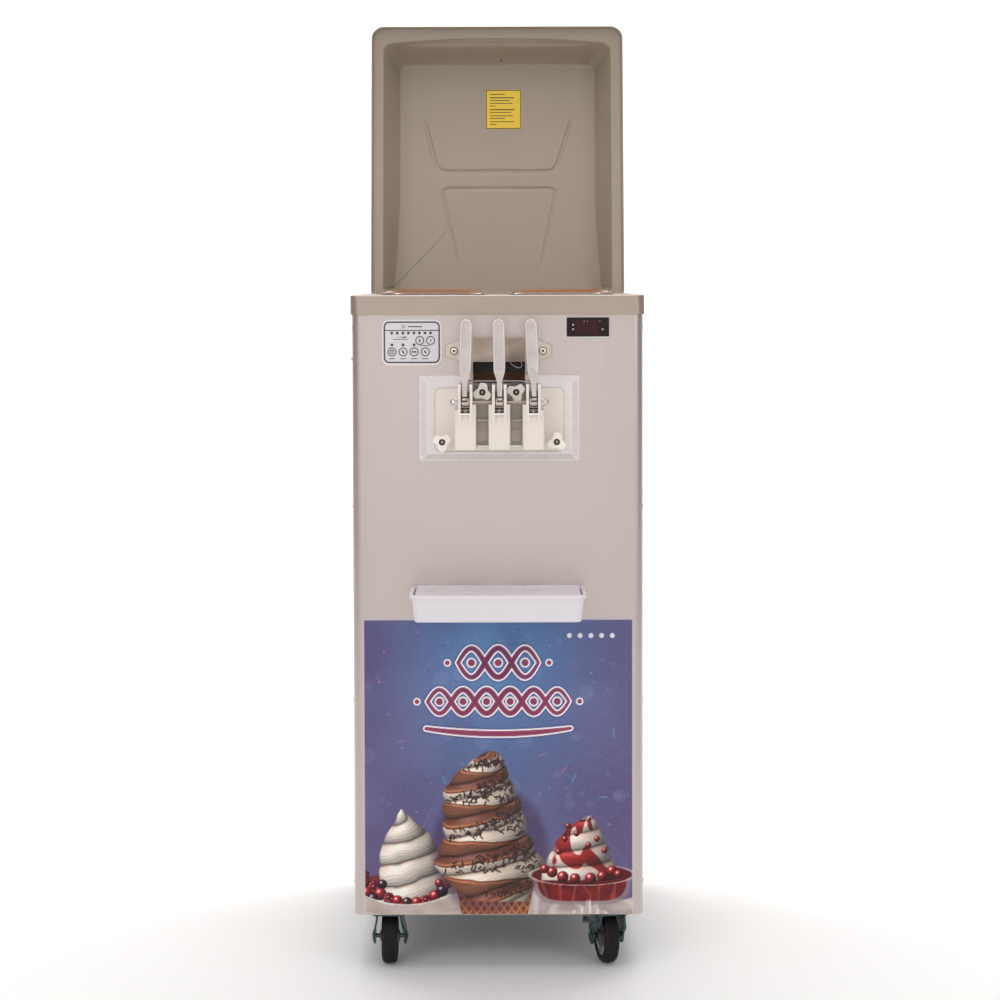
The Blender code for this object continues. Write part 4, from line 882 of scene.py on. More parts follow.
def build_hood():
    """The folded hood over the lever switches, with its ears, screws, lip and wire."""
    f = FRONT
    x0, x1 = HEAD_X - 0.0491, HEAD_X + 0.0482
    t = 0.0012
    hood = front_plate([rectangle(x0, x1, 1.1300, 1.1727)], 0.0388, 0.0400)
    join(hood, box((x0, f - 0.0399, 1.1715), (x1, f - 0.0012, 1.1727)))
    cheek = [(f - 0.0012, 1.1727), (f - 0.0400, 1.1727), (f - 0.0400, 1.0940), (f - 0.0165, 1.0940),
             (f - 0.0165, 1.1065), (f - 0.0012, 1.1065)]
    for x in (x0, x1 - t):
        join(hood, side_plate([cheek[::-1]], x, x + t))
    ears = [(-0.0960, 1.1380), (-0.0640, 1.1285), (0.0680, 1.1285), (0.1000, 1.1380), (0.1000, 1.1595),
            (0.0680, 1.1720), (-0.0640, 1.1720), (-0.0960, 1.1595)]
    join(hood, front_plate([ears, rectangle(HEAD_X - 0.044, HEAD_X + 0.044, 1.1320, 1.1665)], 0.0004, 0.0018))
    for side, edge in ((-1, x0), (1, x1)):
        foot = [(edge, 1.1075), (edge - side * 0.0012, 1.1075), (edge - side * 0.0012, 1.0951),
                (edge + side * 0.0085, 1.0951), (edge + side * 0.0040, 1.0985)]
        join(hood, front_plate([foot if side > 0 else foot[::-1]], 0.0390, 0.0400))
    lip = flat_plate([rounded_rect(-0.0669, 0.0696, f - 0.0404, f - 0.0170, 0.003, 4)], 1.0935, 1.0951)
    join(hood, lip)
    for polygon in baked(soft(hood, 0.0003, 2)).data.polygons:
        polygon.use_smooth = False
    place(hood, "switch_hood", "cabinet", "brushed_steel", "switch_cover", material=HOOD_STEEL)

    ear_left = front_plate([[(-0.0960, 1.1380), (-0.0640, 1.1285), (x0, 1.1285), (x0, 1.1720),
                             (-0.0640, 1.1720), (-0.0960, 1.1595)]], 0.0018, 0.0020)
    ear_right = front_plate([[(x1, 1.1285), (0.0680, 1.1285), (0.1000, 1.1380), (0.1000, 1.1595),
                              (0.0680, 1.1720), (x1, 1.1720)]], 0.0018, 0.0020)
    # Thin grey strips round the ears' outer edges: painted shade.
    ear_edge_shades = []
    for side, edge in ((-1, x0), (1, x1)):
        outer = [(edge, 1.1285), (0.002 + side * 0.0660, 1.1285), (0.002 + side * 0.0980, 1.1380),
                 (0.002 + side * 0.0980, 1.1595), (0.002 + side * 0.0660, 1.1720), (edge, 1.1720)]
        inner = [(edge, 1.1293), (0.002 + side * 0.0659, 1.1293), (0.002 + side * 0.0972, 1.1386),
                 (0.002 + side * 0.0972, 1.1589), (0.002 + side * 0.0659, 1.1712), (edge, 1.1712)]
        for a, b, c, d in zip(outer, outer[1:], inner, inner[1:]):
            quad = [a, b, d, c]
            ear_edge_shades.append((front_plate([quad if side > 0 else quad[::-1]], 0.0019, 0.0021), MARK_GREY))
    place(gathered((ear_left, EAR_PAINT), (ear_right, EAR_PAINT), *ear_edge_shades), "hood_ear_film", "cabinet",
          "cream_plastic")

    for index, x in enumerate((-0.0797, 0.0834)):
        # A dark ring under each screw head is a painted shadow; the dark hex socket is painted shade.
        shadow_ring = soft(rod((0, 0, 0.0003), 0.0072, 0.0006, "z", 40), 0.0002, 2)
        head = moved(screw(0.0058, 0.0026, KNOB_PLASTIC, "hex"), shift((0, 0, 0.0006)))
        socket = rod((0, 0, 0.0022), 0.0024, 0.0024, "z", 6)
        both = gathered((shadow_ring, RECESS_SHADE), (head, KNOB_PLASTIC), (soft(socket), RECESS_SHADE))
        moved(both, shift((x, f - 0.0020, 1.1486)) @ FACE_FRONT)
        place(both, f"hood_screw_{index + 1}", "cabinet", "aluminium")

    # A black plate behind the hood's opening: painted shade.
    well = front_plate([rectangle(x0 + 0.0014, x1 - 0.0014, 1.1075, 1.1708)], 0.0020, 0.0026)
    # The sloping brown shelf stands for the shaded foot of the hood's opening: painted shade.
    shelf = side_plate([[(f - 0.0020, 1.1110), (f - 0.0060, 1.1060), (f - 0.0160, 1.0990),
                         (f - 0.0280, 1.0960), (f - 0.0385, 1.0956),
                         (f - 0.0385, 1.0952), (f - 0.0172, 1.0952), (f - 0.0172, 1.0975),
                         (f - 0.0020, 1.1080)]], x0 + 0.0016, x1 - 0.0016)
    # A pale strip along the lip's front edge: painted highlight.
    lip_highlight = box((-0.0440, f - 0.0404, 1.0936), (0.0466, f - 0.0398, 1.0958))
    place(gathered((well, BLACK), (soft(shelf, angle=60), SHELF_SHADE), (lip_highlight, PALE_TRIM_AND_HIGHLIGHT)), "switch_well_shade",
          "cabinet", "panel_black")
    for name, x in VALVES:
        x += {"left": 0.022, "center": 0.002, "right": -0.022}[name]
        body = soft(box((x - 0.0052, f - 0.0230, 1.1330), (x + 0.0052, f - 0.0030, 1.1500)), 0.0006, 2)
        place(body, "micro_switch_" + name, "cabinet", "panel_black", material=BLACK)
    wire = tube([(0.0215, f - 0.028, 1.1330), (0.0225, f - 0.029, 1.1290), (0.0262, f - 0.030, 1.1252),
                 (0.0305, f - 0.031, 1.1218), (0.0350, f - 0.031, 1.1194), (0.0395, f - 0.031, 1.1186),
                 (0.0432, f - 0.031, 1.1200), (0.0446, f - 0.031, 1.1232), (0.0438, f - 0.030, 1.1268),
                 (0.0412, f - 0.029, 1.1296), (0.0390, f - 0.028, 1.1330)], 0.00055)
    place(soft(wire, angle=60), "switch_wire", "cabinet", "white_plastic", material=WHITE_PLASTIC)


# ---- drip tray -----------------------------------------------------------------------------------
def build_tray():
    rear = FRONT - 0.0004

    def ring(inset, low, radius, z):
        return [(x, y, z) for x, y in rounded_rect(-0.1590 + inset, 0.1590 - inset, -0.4350 + inset,
                                                   rear if low is None else low, radius, 10)]

    tray = loft([ring(0.0140, -0.3060, 0.008, 0.6670), ring(0.0115, -0.3045, 0.010, 0.6675),
                 ring(0.0096, -0.3035, 0.012, 0.6690), ring(0.0088, -0.3030, 0.013, 0.6712),
                 ring(0.0046, -0.3025, 0.0155, 0.7085), ring(0.0040, -0.3023, 0.016, 0.7095),
                 ring(0.0010, None, 0.018, 0.7095), ring(0.0002, None, 0.0188, 0.7101),
                 ring(0.0, None, 0.019, 0.7112), ring(0.0, None, 0.019, 0.7150),
                 ring(0.0006, None, 0.0185, 0.7163), ring(0.0020, -0.3015, 0.0172, 0.7170),
                 ring(0.0052, -0.3050, 0.0150, 0.7170), ring(0.0066, -0.3064, 0.0138, 0.7162),
                 ring(0.0072, -0.3068, 0.0134, 0.7146), ring(0.0112, -0.3075, 0.0118, 0.6735),
                 ring(0.0150, -0.3090, 0.0090, 0.6698)])
    place(soft(tray, angle=28), "tray_shell", "tray", "white_plastic", "drip_tray", material=TRAY_PLASTIC)

    slots = [rounded_rect(cx - 0.0165, cx + 0.0165, cy - 0.003, cy + 0.003, 0.0028, 5)
             for cx in (-0.0560, 0.0560) for cy in (-0.348, -0.388)]
    grid = flat_plate([rounded_rect(-0.1490, 0.1490, -0.4255, -0.3090, 0.011, 8), *slots], 0.7110, 0.7140)
    soft(grid, 0.0006, 2)
    parts = [(grid, TRAY_PLASTIC)]
    for cx in (-0.0560, 0.0560):
        for cy in (-0.330, -0.368, -0.406):
            outline = rounded_rect(cx - 0.030, cx + 0.030, cy - 0.002, cy + 0.002, 0.0018, 5)
            parts.append((soft(flat_plate([outline], 0.7138, 0.7146), 0.0003, 2), TRAY_PLASTIC))
    place(gathered(*parts), "tray_plate", "tray_grid", "white_plastic", "drip_grid")


# ---- lid -----------------------------------------------------------------------------------------
def eased(x, a, b):
    """Zero before a, one past b, with a smooth climb between."""
    t = np.clip((np.asarray(x, float) - a) / (b - a), 0.0, 1.0)
    return t * t * (3 - 2 * t)


def to_line(x, y, points):
    """Each place's distance from a run of points, how far along the nearest point lies, and the run."""
    best = np.full(x.shape, 1e9)
    along = np.zeros(x.shape)
    run = 0.0
    for (ax, ay), (bx, by) in zip(points, points[1:]):
        dx, dy = bx - ax, by - ay
        length = hypot(dx, dy)
        t = np.clip(((x - ax) * dx + (y - ay) * dy) / (length * length), 0.0, 1.0)
        d = np.hypot(x - ax - t * dx, y - ay - t * dy)
        near = d < best
        best = np.where(near, d, best)
        along = np.where(near, run + t * length, along)
        run += length
    return best, along, run


def rounded_run(points, radius, steps=10):
    """An open run whose inner corners are rounded."""
    line = [points[0]]
    for before, corner, after in zip(points, points[1:], points[2:]):
        a = (Vector(before) - Vector(corner)).normalized()
        b = (Vector(after) - Vector(corner)).normalized()
        start, end = Vector(corner) + a * radius, Vector(corner) + b * radius
        for i in range(steps + 1):
            t = i / steps
            point = start * (1 - t) ** 2 + Vector(corner) * 2 * t * (1 - t) + end * t * t
            line.append((point.x, point.y))
    line.append(points[-1])
    return line


LID_LENGTH, LID_RISE, LID_BOW = 0.577, 0.0105, 0.0104
LID_SIDES, LID_ENDS, LID_CORNER = 210, 210, 30


def lid_ring(side, front, rear, radius, rear_radius):
    """One outline round the lid in its (x, u) plane; side is the inset at the hinge and at the front."""
    near, far = side
    left_far, left_near = -0.2675 + far, -0.2675 + near
    u_far, u_near = LID_LENGTH - front, rear
    points = []

    def side_x(u):
        """The walls draw in towards the hinge over the last stretch."""
        flare = 1 - max(0.0, 1 - u / 0.22) ** 1.4
        return left_near * (1 - flare) + left_far * flare

    for i in range(LID_ENDS):
        t = i / LID_ENDS
        x = (left_far + radius) * (1 - t) - (left_far + radius) * t
        points.append((x, u_far))
    for i in range(LID_CORNER):
        a = pi / 2 * (1 - i / LID_CORNER)
        points.append((-left_far - radius + radius * cos(a), u_far - radius + radius * sin(a)))
    for i in range(LID_SIDES):
        t = i / LID_SIDES
        u = (u_far - radius) * (1 - t) + (u_near + rear_radius) * t
        points.append((-side_x(u), u))
    for i in range(LID_CORNER):
        a = -pi / 2 * i / LID_CORNER
        points.append((-left_near - rear_radius + rear_radius * cos(a),
                       u_near + rear_radius + rear_radius * sin(a)))
    for i in range(LID_ENDS):
        t = i / LID_ENDS
        x = (-left_near - rear_radius) * (1 - t) + (left_near + rear_radius) * t
        points.append((x, u_near))
    for i in range(LID_CORNER):
        a = -pi / 2 - pi / 2 * i / LID_CORNER
        points.append((left_near + rear_radius + rear_radius * cos(a),
                       u_near + rear_radius + rear_radius * sin(a)))
    for i in range(LID_SIDES):
        t = i / LID_SIDES
        u = (u_near + rear_radius) * (1 - t) + (u_far - radius) * t
        points.append((side_x(u), u))
    for i in range(LID_CORNER):
        a = pi - pi / 2 * i / LID_CORNER
        points.append((left_far + radius + radius * cos(a), u_far - radius + radius * sin(a)))
    return np.array(points)


def skin(name, rings):
    """Closes a run of equal rings of points with a fan at each end."""
    count = len(rings[0])
    first, last = rings[0].mean(axis=0), rings[-1].mean(axis=0)
    points = np.concatenate([*rings, first[None], last[None]])
    i = np.arange(count)
    j = (i + 1) % count
    faces = []
    for k in range(len(rings) - 1):
        a, b = k * count, (k + 1) * count
        faces += np.stack([a + i, a + j, b + j, b + i], axis=1).tolist()
    a, end = len(rings) * count, (len(rings) - 1) * count
    faces += [(a, jj, ii) for ii, jj in zip(i.tolist(), j.tolist())]
    faces += [(a + 1, end + ii, end + jj) for ii, jj in zip(i.tolist(), j.tolist())]
    mesh = bpy.data.meshes.new(name)
    mesh.from_pydata(points.tolist(), [], faces)
    bm = bmesh.new()
    bm.from_mesh(mesh)
    bpy.data.meshes.remove(mesh)
    return from_bmesh(name, bm)


def build_lid():
    """The moulded lid: rolled rim, flange, drafted walls with a grip, and a floor with two grooves."""
    def ring(side, front, rear, radius, rear_radius, w, bow=0.0, grip=0.0):
        line = lid_ring(side, front, rear, radius, rear_radius)
        x, u = line[:, 0], line[:, 1].copy()
        at_front = eased(u, LID_LENGTH - front - 0.012, LID_LENGTH - front)
        u += at_front * bow * (1 - (x / 0.225) ** 2).clip(0)
        u -= at_front * grip * (1 - (x / 0.196) ** 2).clip(0) ** 0.6
        return np.stack([x, -u, np.full(len(x), w + LID_RISE)], axis=1)

    rings = []
    for scale in (0.02, 0.5, 0.9, 0.985):
        floor = ring((0.0465, 0.0595), 0.0670, 0.0165, 0.020, 0.012, 0.0805)
        centre = floor.mean(axis=0)
        rings.append(centre + (floor - centre) * (scale, scale, 1))
    for t in np.linspace(0, 1, 14):
        rings.append(ring((0.0440 - 0.0200 * t, 0.0560 - 0.0315 * t), 0.0625 - 0.0345 * t,
                          0.0155 - 0.0085 * t, 0.022 - 0.004 * t, 0.014 - 0.010 * t, 0.0785 - 0.0715 * t))
    rim = [(0.0215, 0.0062), (0.0060, 0.0062), (0.0042, 0.0060), (0.0024, 0.0053), (0.0010, 0.0042),
           (0.0002, 0.0028), (0.0, 0.0012), (0.0, -0.0030), (0.0003, -0.0045), (0.0009, -0.0053),
           (0.0018, -0.0055), (0.0025, -0.0052), (0.0031, -0.0042), (0.0036, -0.0005), (0.0045, 0.0014),
           (0.0062, 0.0025), (0.0085, 0.0031)]
    for inset, w in rim:
        radius = 0.0040 + min(inset, 0.004) * 0.6
        rings.append(ring((inset, inset), inset, radius, 0.026 - inset * 0.3, 0.0040, w))
    for inset, w, bow in ((0.014, 0.0034, 0.0), (0.020, 0.0034, 0.3), (0.0236, 0.0034, 0.7),
                          (0.0248, 0.0036, 0.9), (0.0256, 0.0043, 1.0)):
        front = 0.0085 + (inset - 0.0085) * 1.50
        radius = 0.0064 + (inset - 0.0085) * 0.24
        rings.append(ring((inset, inset), front, radius, 0.0240 - inset * 0.2, 0.0050, w, bow * LID_BOW))
    for t in np.linspace(0, 1, 30)[1:]:
        grip = 0.0072 * float(eased(t, 0.10, 0.17)) * (1 - float(eased(t, 0.22, 0.86)))
        rings.append(ring((0.0260 + 0.0155 * t, 0.0260 + 0.0300 * t), 0.0348 + 0.0282 * t,
                          0.0106 + 0.0066 * t, 0.0190, 0.0055 + 0.0060 * t, 0.0050 + 0.0688 * t,
                          LID_BOW * (1 - t), grip))
    for a in (15, 30, 45, 60, 75, 90):
        extra = 0.0032 * sin(radians(a))
        rings.append(ring((0.0418 + extra, 0.0563 + extra), 0.0632 + extra, 0.0174 + extra * 0.6,
                          0.0190 - extra * 0.5, 0.0115 - extra * 0.5, 0.0738 + extra * (2 - sin(radians(a)))))
    edge = rings[-1]
    level = edge[0, 2]
    centre = edge.mean(axis=0)
    upper = rounded_run([(-0.1620, 0.4100), (-0.1289, 0.2782), (0.1248, 0.2782), (0.1670, 0.4100)], 0.022)
    lower = rounded_run([(-0.0765, 0.0440), (-0.1208, 0.2415), (0.1278, 0.2415), (0.0886, 0.0510)], 0.020)
    steps = 96
    for k in range(1, steps):
        t = 1 - k / steps
        row = centre + (edge - centre) * (t, t, 1)
        x, u = row[:, 0], -row[:, 1]
        row[:, 2] = level
        for groove, depth, width, fading in ((upper, 0.0050, 0.0034, 0.045), (lower, 0.0038, 0.0028, 0.05)):
            d, along, run = to_line(x, u, groove)
            fade = eased(along, 0.004, fading) * eased(run - along, 0.004, fading)
            row[:, 2] += depth * fade * np.exp(-(d / width) ** 2)
        rings.append(row)
    lid = skin("lid_shell", rings)
    moved(lid, LID_TURN)
    place(soft(lid, angle=80), "lid_shell", "top_lid", "lid_plastic", "lid", material=LID_PLASTIC)

    def on_floor(loops, low, high):
        """A flat piece on the lid's inner floor, from (x, u) outlines, between two heights above it."""
        piece = plate([[(x, -u) for x, u in reversed(loop)] for loop in loops], high - low)
        return moved(piece, LID_TURN @ shift((0, 0, level - (low + high) / 2)))

    x0, x1, u0, u1 = -0.0248, 0.0518, 0.3708, 0.4570
    card = on_floor([rounded_rect(x0, x1, u0, u1, 0.001, 2)], 0.0, 0.0003)
    parts = [(card, LABEL_YELLOW)]
    parts.append((on_floor([rectangle(x0 + 0.0006, x1 - 0.0006, u0 + 0.0006, u1 - 0.0006),
                            rectangle(x0 + 0.0022, x1 - 0.0022, u0 + 0.0022, u1 - 0.0022)], 0.0002, 0.0004),
                            LABEL_BLACK))
    rows = ((0.4300, 0.0330, 0.0016), (0.4225, 0.0520, 0.0022), (0.4165, 0.0440, 0.0016),
            (0.4105, 0.0490, 0.0016), (0.4045, 0.0130, 0.0016), (0.3965, 0.0540, 0.0022),
            (0.3905, 0.0470, 0.0016), (0.3830, 0.0500, 0.0016), (0.3775, 0.0330, 0.0016),
            (0.3700, 0.0530, 0.0016), (0.3645, 0.0150, 0.0016))
    for u, length, size in rows:
        u += 0.0168
        parts.append((on_floor([rectangle(x0 + 0.0085, x0 + 0.0085 + length, u - size / 2, u + size / 2)],
                               0.0002, 0.0004), LABEL_BLACK))
    place(gathered(*parts), "lid_card", "top_lid", "panel_black")
    # A dark disc where the lid has a small hole: painted shade.
    hole_shade = soft(rod((0, 0, 0), 0.0024, 0.0012, "z", 24), 0.0003, 2)
    moved(hole_shade, LID_TURN @ shift((0.009, -0.5180, 0.0745)) @ spin(-62, "X"))
    place(hole_shade, "lid_hole_shade", "top_lid", "panel_black", material=RECESS_SHADE)


def build_lid_hinge():
    """A piano hinge behind the deck: knuckles on one pin, a leaf on the deck's band, one on the lid."""
    y, z = LID_HINGE.y, LID_HINGE.z
    fixed, turning = [], []
    knuckles = 17
    length = 0.400 / knuckles
    for i in range(knuckles):
        x = -0.200 + length * (i + 0.5)
        knuckle = soft(rod((x, y, z), 0.0040, length - 0.0008, "x", 32), 0.0004, 2)
        (turning if i % 2 else fixed).append((knuckle, ZINC))
    fixed.append((soft(rod((0, y, z), 0.0016, 0.3996, "x", 16)), DARK_ZINC))
    for i in range(0, knuckles, 2):
        x = -0.200 + length * (i + 0.5)
        fixed.append((box((x - length / 2 + 0.0006, 0.2965, 1.2380), (x + length / 2 - 0.0006, 0.2977, z)),
                      ZINC))
    fixed.append((soft(box((-0.199, 0.2963, 1.2215), (0.199, 0.2977, 1.2410)), 0.0004, 2), ZINC))
    for i in range(8):
        bolt = soft(rod((-0.175 + 0.05 * i, 0.2985, 1.2300), 0.0030, 0.0016, "y", 20), 0.0005, 2)
        fixed.append((bolt, NUT_METAL))
    place(gathered(*fixed), "deck_hinge_leaf", "cabinet", "zinc_plate", "lid_hinge")
    for i in range(1, knuckles, 2):
        x = -0.200 + length * (i + 0.5)
        tab = box((x - length / 2 + 0.0006, -0.0036, 0.0010), (x + length / 2 - 0.0006, -0.0024, 0.0070))
        turning.append((moved(tab, LID_TURN), ZINC))
    turning.append((moved(soft(box((-0.199, -0.0038, 0.0052), (0.199, -0.0026, 0.0140)), 0.0002), LID_TURN),
                    ZINC))
    place(gathered(*turning), "lid_hinge_leaf", "top_lid", "zinc_plate")


# ---- casters -------------------------------------------------------------------------------------
CASTERS = [("front_left", (-0.204, -0.270), 0.0, False), ("front_right", (0.207, -0.270), 12.5, True),
           ("rear_left", (-0.204, 0.209), 0.0, True), ("rear_right", (0.204, 0.209), 0.0, False)]
TRAIL, WHEEL = 0.026, 0.0495


def fork_side(side, rear):
    """One pressed cheek of a fork: it leans out from the crown and bulges round the axle."""
    outline = [(-0.0255, 0.1020), (-0.0215, 0.0930), (-0.0120, 0.0700), (0.0060, 0.0600),
               *arc((TRAIL, WHEEL), 0.0150, 190, 370, 20), (0.0420, 0.0640), (rear - 0.002, 0.0800),
               (rear, 0.0930), (rear, 0.1020)]
    cheek = side_plate([smoothed(outline, 1)], -0.0018, 0.0018)
    bm = bmesh.new()
    bm.from_mesh(cheek.data)
    for height in range(55, 100, 5):
        everything = bm.verts[:] + bm.edges[:] + bm.faces[:]
        bmesh.ops.bisect_plane(bm, geom=everything, plane_co=(0, 0, height / 1000), plane_no=(0, 0, 1))
    bm.to_mesh(cheek.data)
    bm.free()
    for vertex in cheek.data.vertices:
        lean = float(eased(0.098 - vertex.co.z, 0.0, 0.040))
        vertex.co.x += side * (0.0224 + 0.0060 * lean)
    soft(cheek, angle=30)
    dome = turned([(0.0, 0.0030), (0.0062, 0.0029), (0.0096, 0.0022), (0.0120, 0.0008), (0.0126, 0.0),
                   (0.0, 0.0)], 48)
    moved(dome, shift((side * 0.0300, TRAIL, WHEEL)) @ spin(side * 90, "Y"))
    nut = soft(rod((side * 0.0322, TRAIL, WHEEL), 0.0066, 0.0026, "x", 6), 0.0006, 2)
    return [(cheek, TEAL_ZINC), (soft(dome), TEAL_ZINC), (nut, DARK_ZINC)]


def build_casters():
    for name, (x, y), swivel, braked in CASTERS:
        stand = shift((x, y, 0)) @ spin(swivel, "Z")
        rear = 0.0500 if braked else 0.0360
        crown = flat_plate([rounded_rect(-0.0300, 0.0300, -0.0255, 0.0340, 0.006, 6)], 0.1006, 0.1034)
        soft(crown, 0.0008, 2)
        race = soft(turned([(0.0, 0.1030), (0.0200, 0.1030), (0.0240, 0.1050), (0.0245, 0.1090),
                            (0.0225, 0.1110), (0.0225, 0.1140),
                            (0.0240, 0.1165), (0.0238, 0.1200), (0.0220, 0.1213), (0.0, 0.1213)], 56),
                            angle=26)
        pin = rod((0, 0, 0.1255), 0.0060, 0.0130, "z", 24)
        axle = soft(rod((0, TRAIL, WHEEL), 0.0040, 0.0680, "x", 24), 0.0008, 2)
        parts = [(crown, DARK_ZINC), (race, DARK_ZINC), (pin, ZINC), (axle, DARK_ZINC)]
        for side in (-1, 1):
            parts += fork_side(side, rear)
        place(moved(gathered(*parts), stand), "caster_fork_mesh_" + name, "fork_" + name, "zinc_plate",
              "caster_fork_" + name)

        half = [(0.0200, 0.0118), (0.0360, 0.0110), (0.0372, 0.0122), (0.0378, 0.0137), (0.0392, 0.0144),
                (0.0408, 0.0144), (0.0440, 0.0138), (0.0466, 0.0126), (0.0483, 0.0104), (0.0490, 0.0082),
                (0.0491, 0.0064), (0.0482, 0.0060), (0.0482, 0.0050), (0.0495, 0.0046), (0.0495, 0.0012),
                (0.0485, 0.0008)]
        tyre = turned([*half, *[(r, -d) for r, d in reversed(half)]], 96)
        for vertex in tyre.data.vertices:
            radius, angle = hypot(vertex.co.x, vertex.co.y), atan2(vertex.co.y, vertex.co.x)
            if 0.0420 < radius < 0.0478 and abs(vertex.co.z) > 0.011 and int((angle + pi) / (2 * pi)
                                                                             * 48) % 2:
                vertex.co.z *= 0.965
        boss = [(0.0058, 0.0185), (0.0090, 0.0185), (0.0100, 0.0175), (0.0108, 0.0140), (0.0128, 0.0122),
                (0.0205, 0.0112), (0.0215, 0.0090)]
        hub = turned([*boss, *[(r, -d) for r, d in reversed(boss)]], 64)
        roll = shift((0, TRAIL, WHEEL)) @ spin(90, "Y")
        parts = [(soft(tyre, angle=24), RUBBER), (soft(hub), HUB_GREY)]
        for side in (-1, 1):
            cap = turned([(0.0210, 0.0), (0.0350, 0.0), (0.0358, 0.0006), (0.0352, 0.0014),
                          (0.0225, 0.0020), (0.0210, 0.0014)], 72)
            moved(cap, shift((0, 0, side * 0.0104)) @ (Matrix.Identity(4) if side > 0 else spin(180, "X")))
            parts.append((soft(cap), ZINC))
            for k in range(5):
                a = 2 * pi * k / 5
                parts.append((soft(rod((0.0285 * cos(a), 0.0285 * sin(a), side * 0.0122), 0.0022, 0.0024,
                                       "z", 16), 0.0004, 2), DARK_ZINC))
        place(moved(gathered(*parts), stand @ roll), "caster_wheel_mesh_" + name, "wheel_" + name,
              "tyre_rubber", "caster_wheel_" + name)

        if braked:
            top = [(-0.004, 0.003), (0.010, 0.003), (0.026, 0.0005), (0.040, -0.006), (0.055, -0.0130),
                   (0.066, -0.022), (0.0725, -0.031), (0.0748, -0.041), (0.0750, -0.052)]
            under = [(0.0722, -0.0520), (0.0720, -0.0415), (0.0700, -0.0325), (0.0640, -0.0245),
                     (0.0530, -0.0155), (0.0385, -0.0090), (0.0250, -0.0022), (0.0100, -0.0002),
                     (-0.0040, -0.0002)]
            pedal = side_plate([top + under], -0.0220, 0.0220)
            soft(pedal, 0.0008, 2)
            grips = [(pedal, ZINC)]
            for k in range(6):
                grips.append((soft(box((-0.0190 + 0.0068 * k, 0.0742, -0.0490),
                                       (-0.0150 + 0.0068 * k, 0.0755, -0.0420)), 0.0004, 2), DARK_ZINC))
            pressed = moved(gathered(*grips), stand @ shift((0, 0.044, 0.0995)))
            place(pressed, "caster_pedal_mesh_" + name, "pedal_" + name, "zinc_plate", "brake_pedal_" + name)


# ---- printed sheet -------------------------------------------------------------------------------
class Print:
    """A picture painted by formula on a grid of places, in sheet metres from its lower left corner."""

    def __init__(self, width, height, step):
        self.columns, self.rows = int(width / step) + 1, int(height / step) + 1
        self.width, self.height = width, height
        self.u, self.v = np.meshgrid(np.linspace(0, width, self.columns), np.linspace(0, height, self.rows))
        self.rgb = np.zeros((*self.u.shape, 3))

    def lay(self, colour, mask):
        mask = np.clip(mask, 0, 1)[..., None]
        self.rgb = self.rgb * (1 - mask) + np.asarray(colour, float) * mask

    def glow(self, colour, mask):
        light = np.asarray(colour, float) * np.clip(mask, 0, 1)[..., None]
        self.rgb = 255 - (255 - self.rgb) * (255 - light) / 255

    def cloud(self, size_u, size_v, seed):
        """Smooth noise between 0 and 1 with cells of the stated size."""
        u = self.u / size_u
        v = self.v / size_v
        values = np.random.RandomState(seed).rand(256, 256)
        i, j = np.floor(u).astype(int), np.floor(v).astype(int)
        s, t = u - i, v - j
        s, t = s * s * (3 - 2 * s), t * t * (3 - 2 * t)
        i0, i1, j0, j1 = i % 256, (i + 1) % 256, j % 256, (j + 1) % 256
        low = values[j0, i0] * (1 - s) + values[j0, i1] * s
        high = values[j1, i0] * (1 - s) + values[j1, i1] * s
        return low * (1 - t) + high * t

    def spot(self, u, v, radius, soft_edge=0.001):
        return 1 - eased(np.hypot(self.u - u, self.v - v), radius - soft_edge, radius + soft_edge)

    def oval(self, u, v, half_width, half_height):
        """Zero at an oval's middle and one on its edge."""
        return np.hypot((self.u - u) / half_width, (self.v - v) / half_height)

    def ball(self, u, v, radius, colour, shine=0.7):
        """A shaded ball lit from the upper left."""
        dx, dy = (self.u - u) / radius, (self.v - v) / radius
        flat = dx * dx + dy * dy
        dz = np.sqrt(np.clip(1 - flat, 0, 1))
        light = np.clip(-0.42 * dx + 0.55 * dy + 0.72 * dz, 0, 1)
        glint = np.clip(-0.30 * dx + 0.42 * dy + 0.86 * dz, 0, 1) ** 26
        shaded = np.asarray(colour, float) * (0.28 + 0.82 * light)[..., None] + 255 * shine * glint[..., None]
        self.lay(np.clip(shaded, 0, 255), 1 - eased(flat, 0.88, 1.08))

    def strokes(self, places, colour, radius):
        """Short round-ended strokes: each is (u0, v0, u1, v1)."""
        for u0, v0, u1, v1 in places:
            du, dv = u1 - u0, v1 - v0
            t = np.clip(((self.u - u0) * du + (self.v - v0) * dv) / (du * du + dv * dv), 0, 1)
            d = np.hypot(self.u - u0 - t * du, self.v - v0 - t * dv)
            self.lay(colour, 1 - eased(d, radius * 0.6, radius * 1.25))


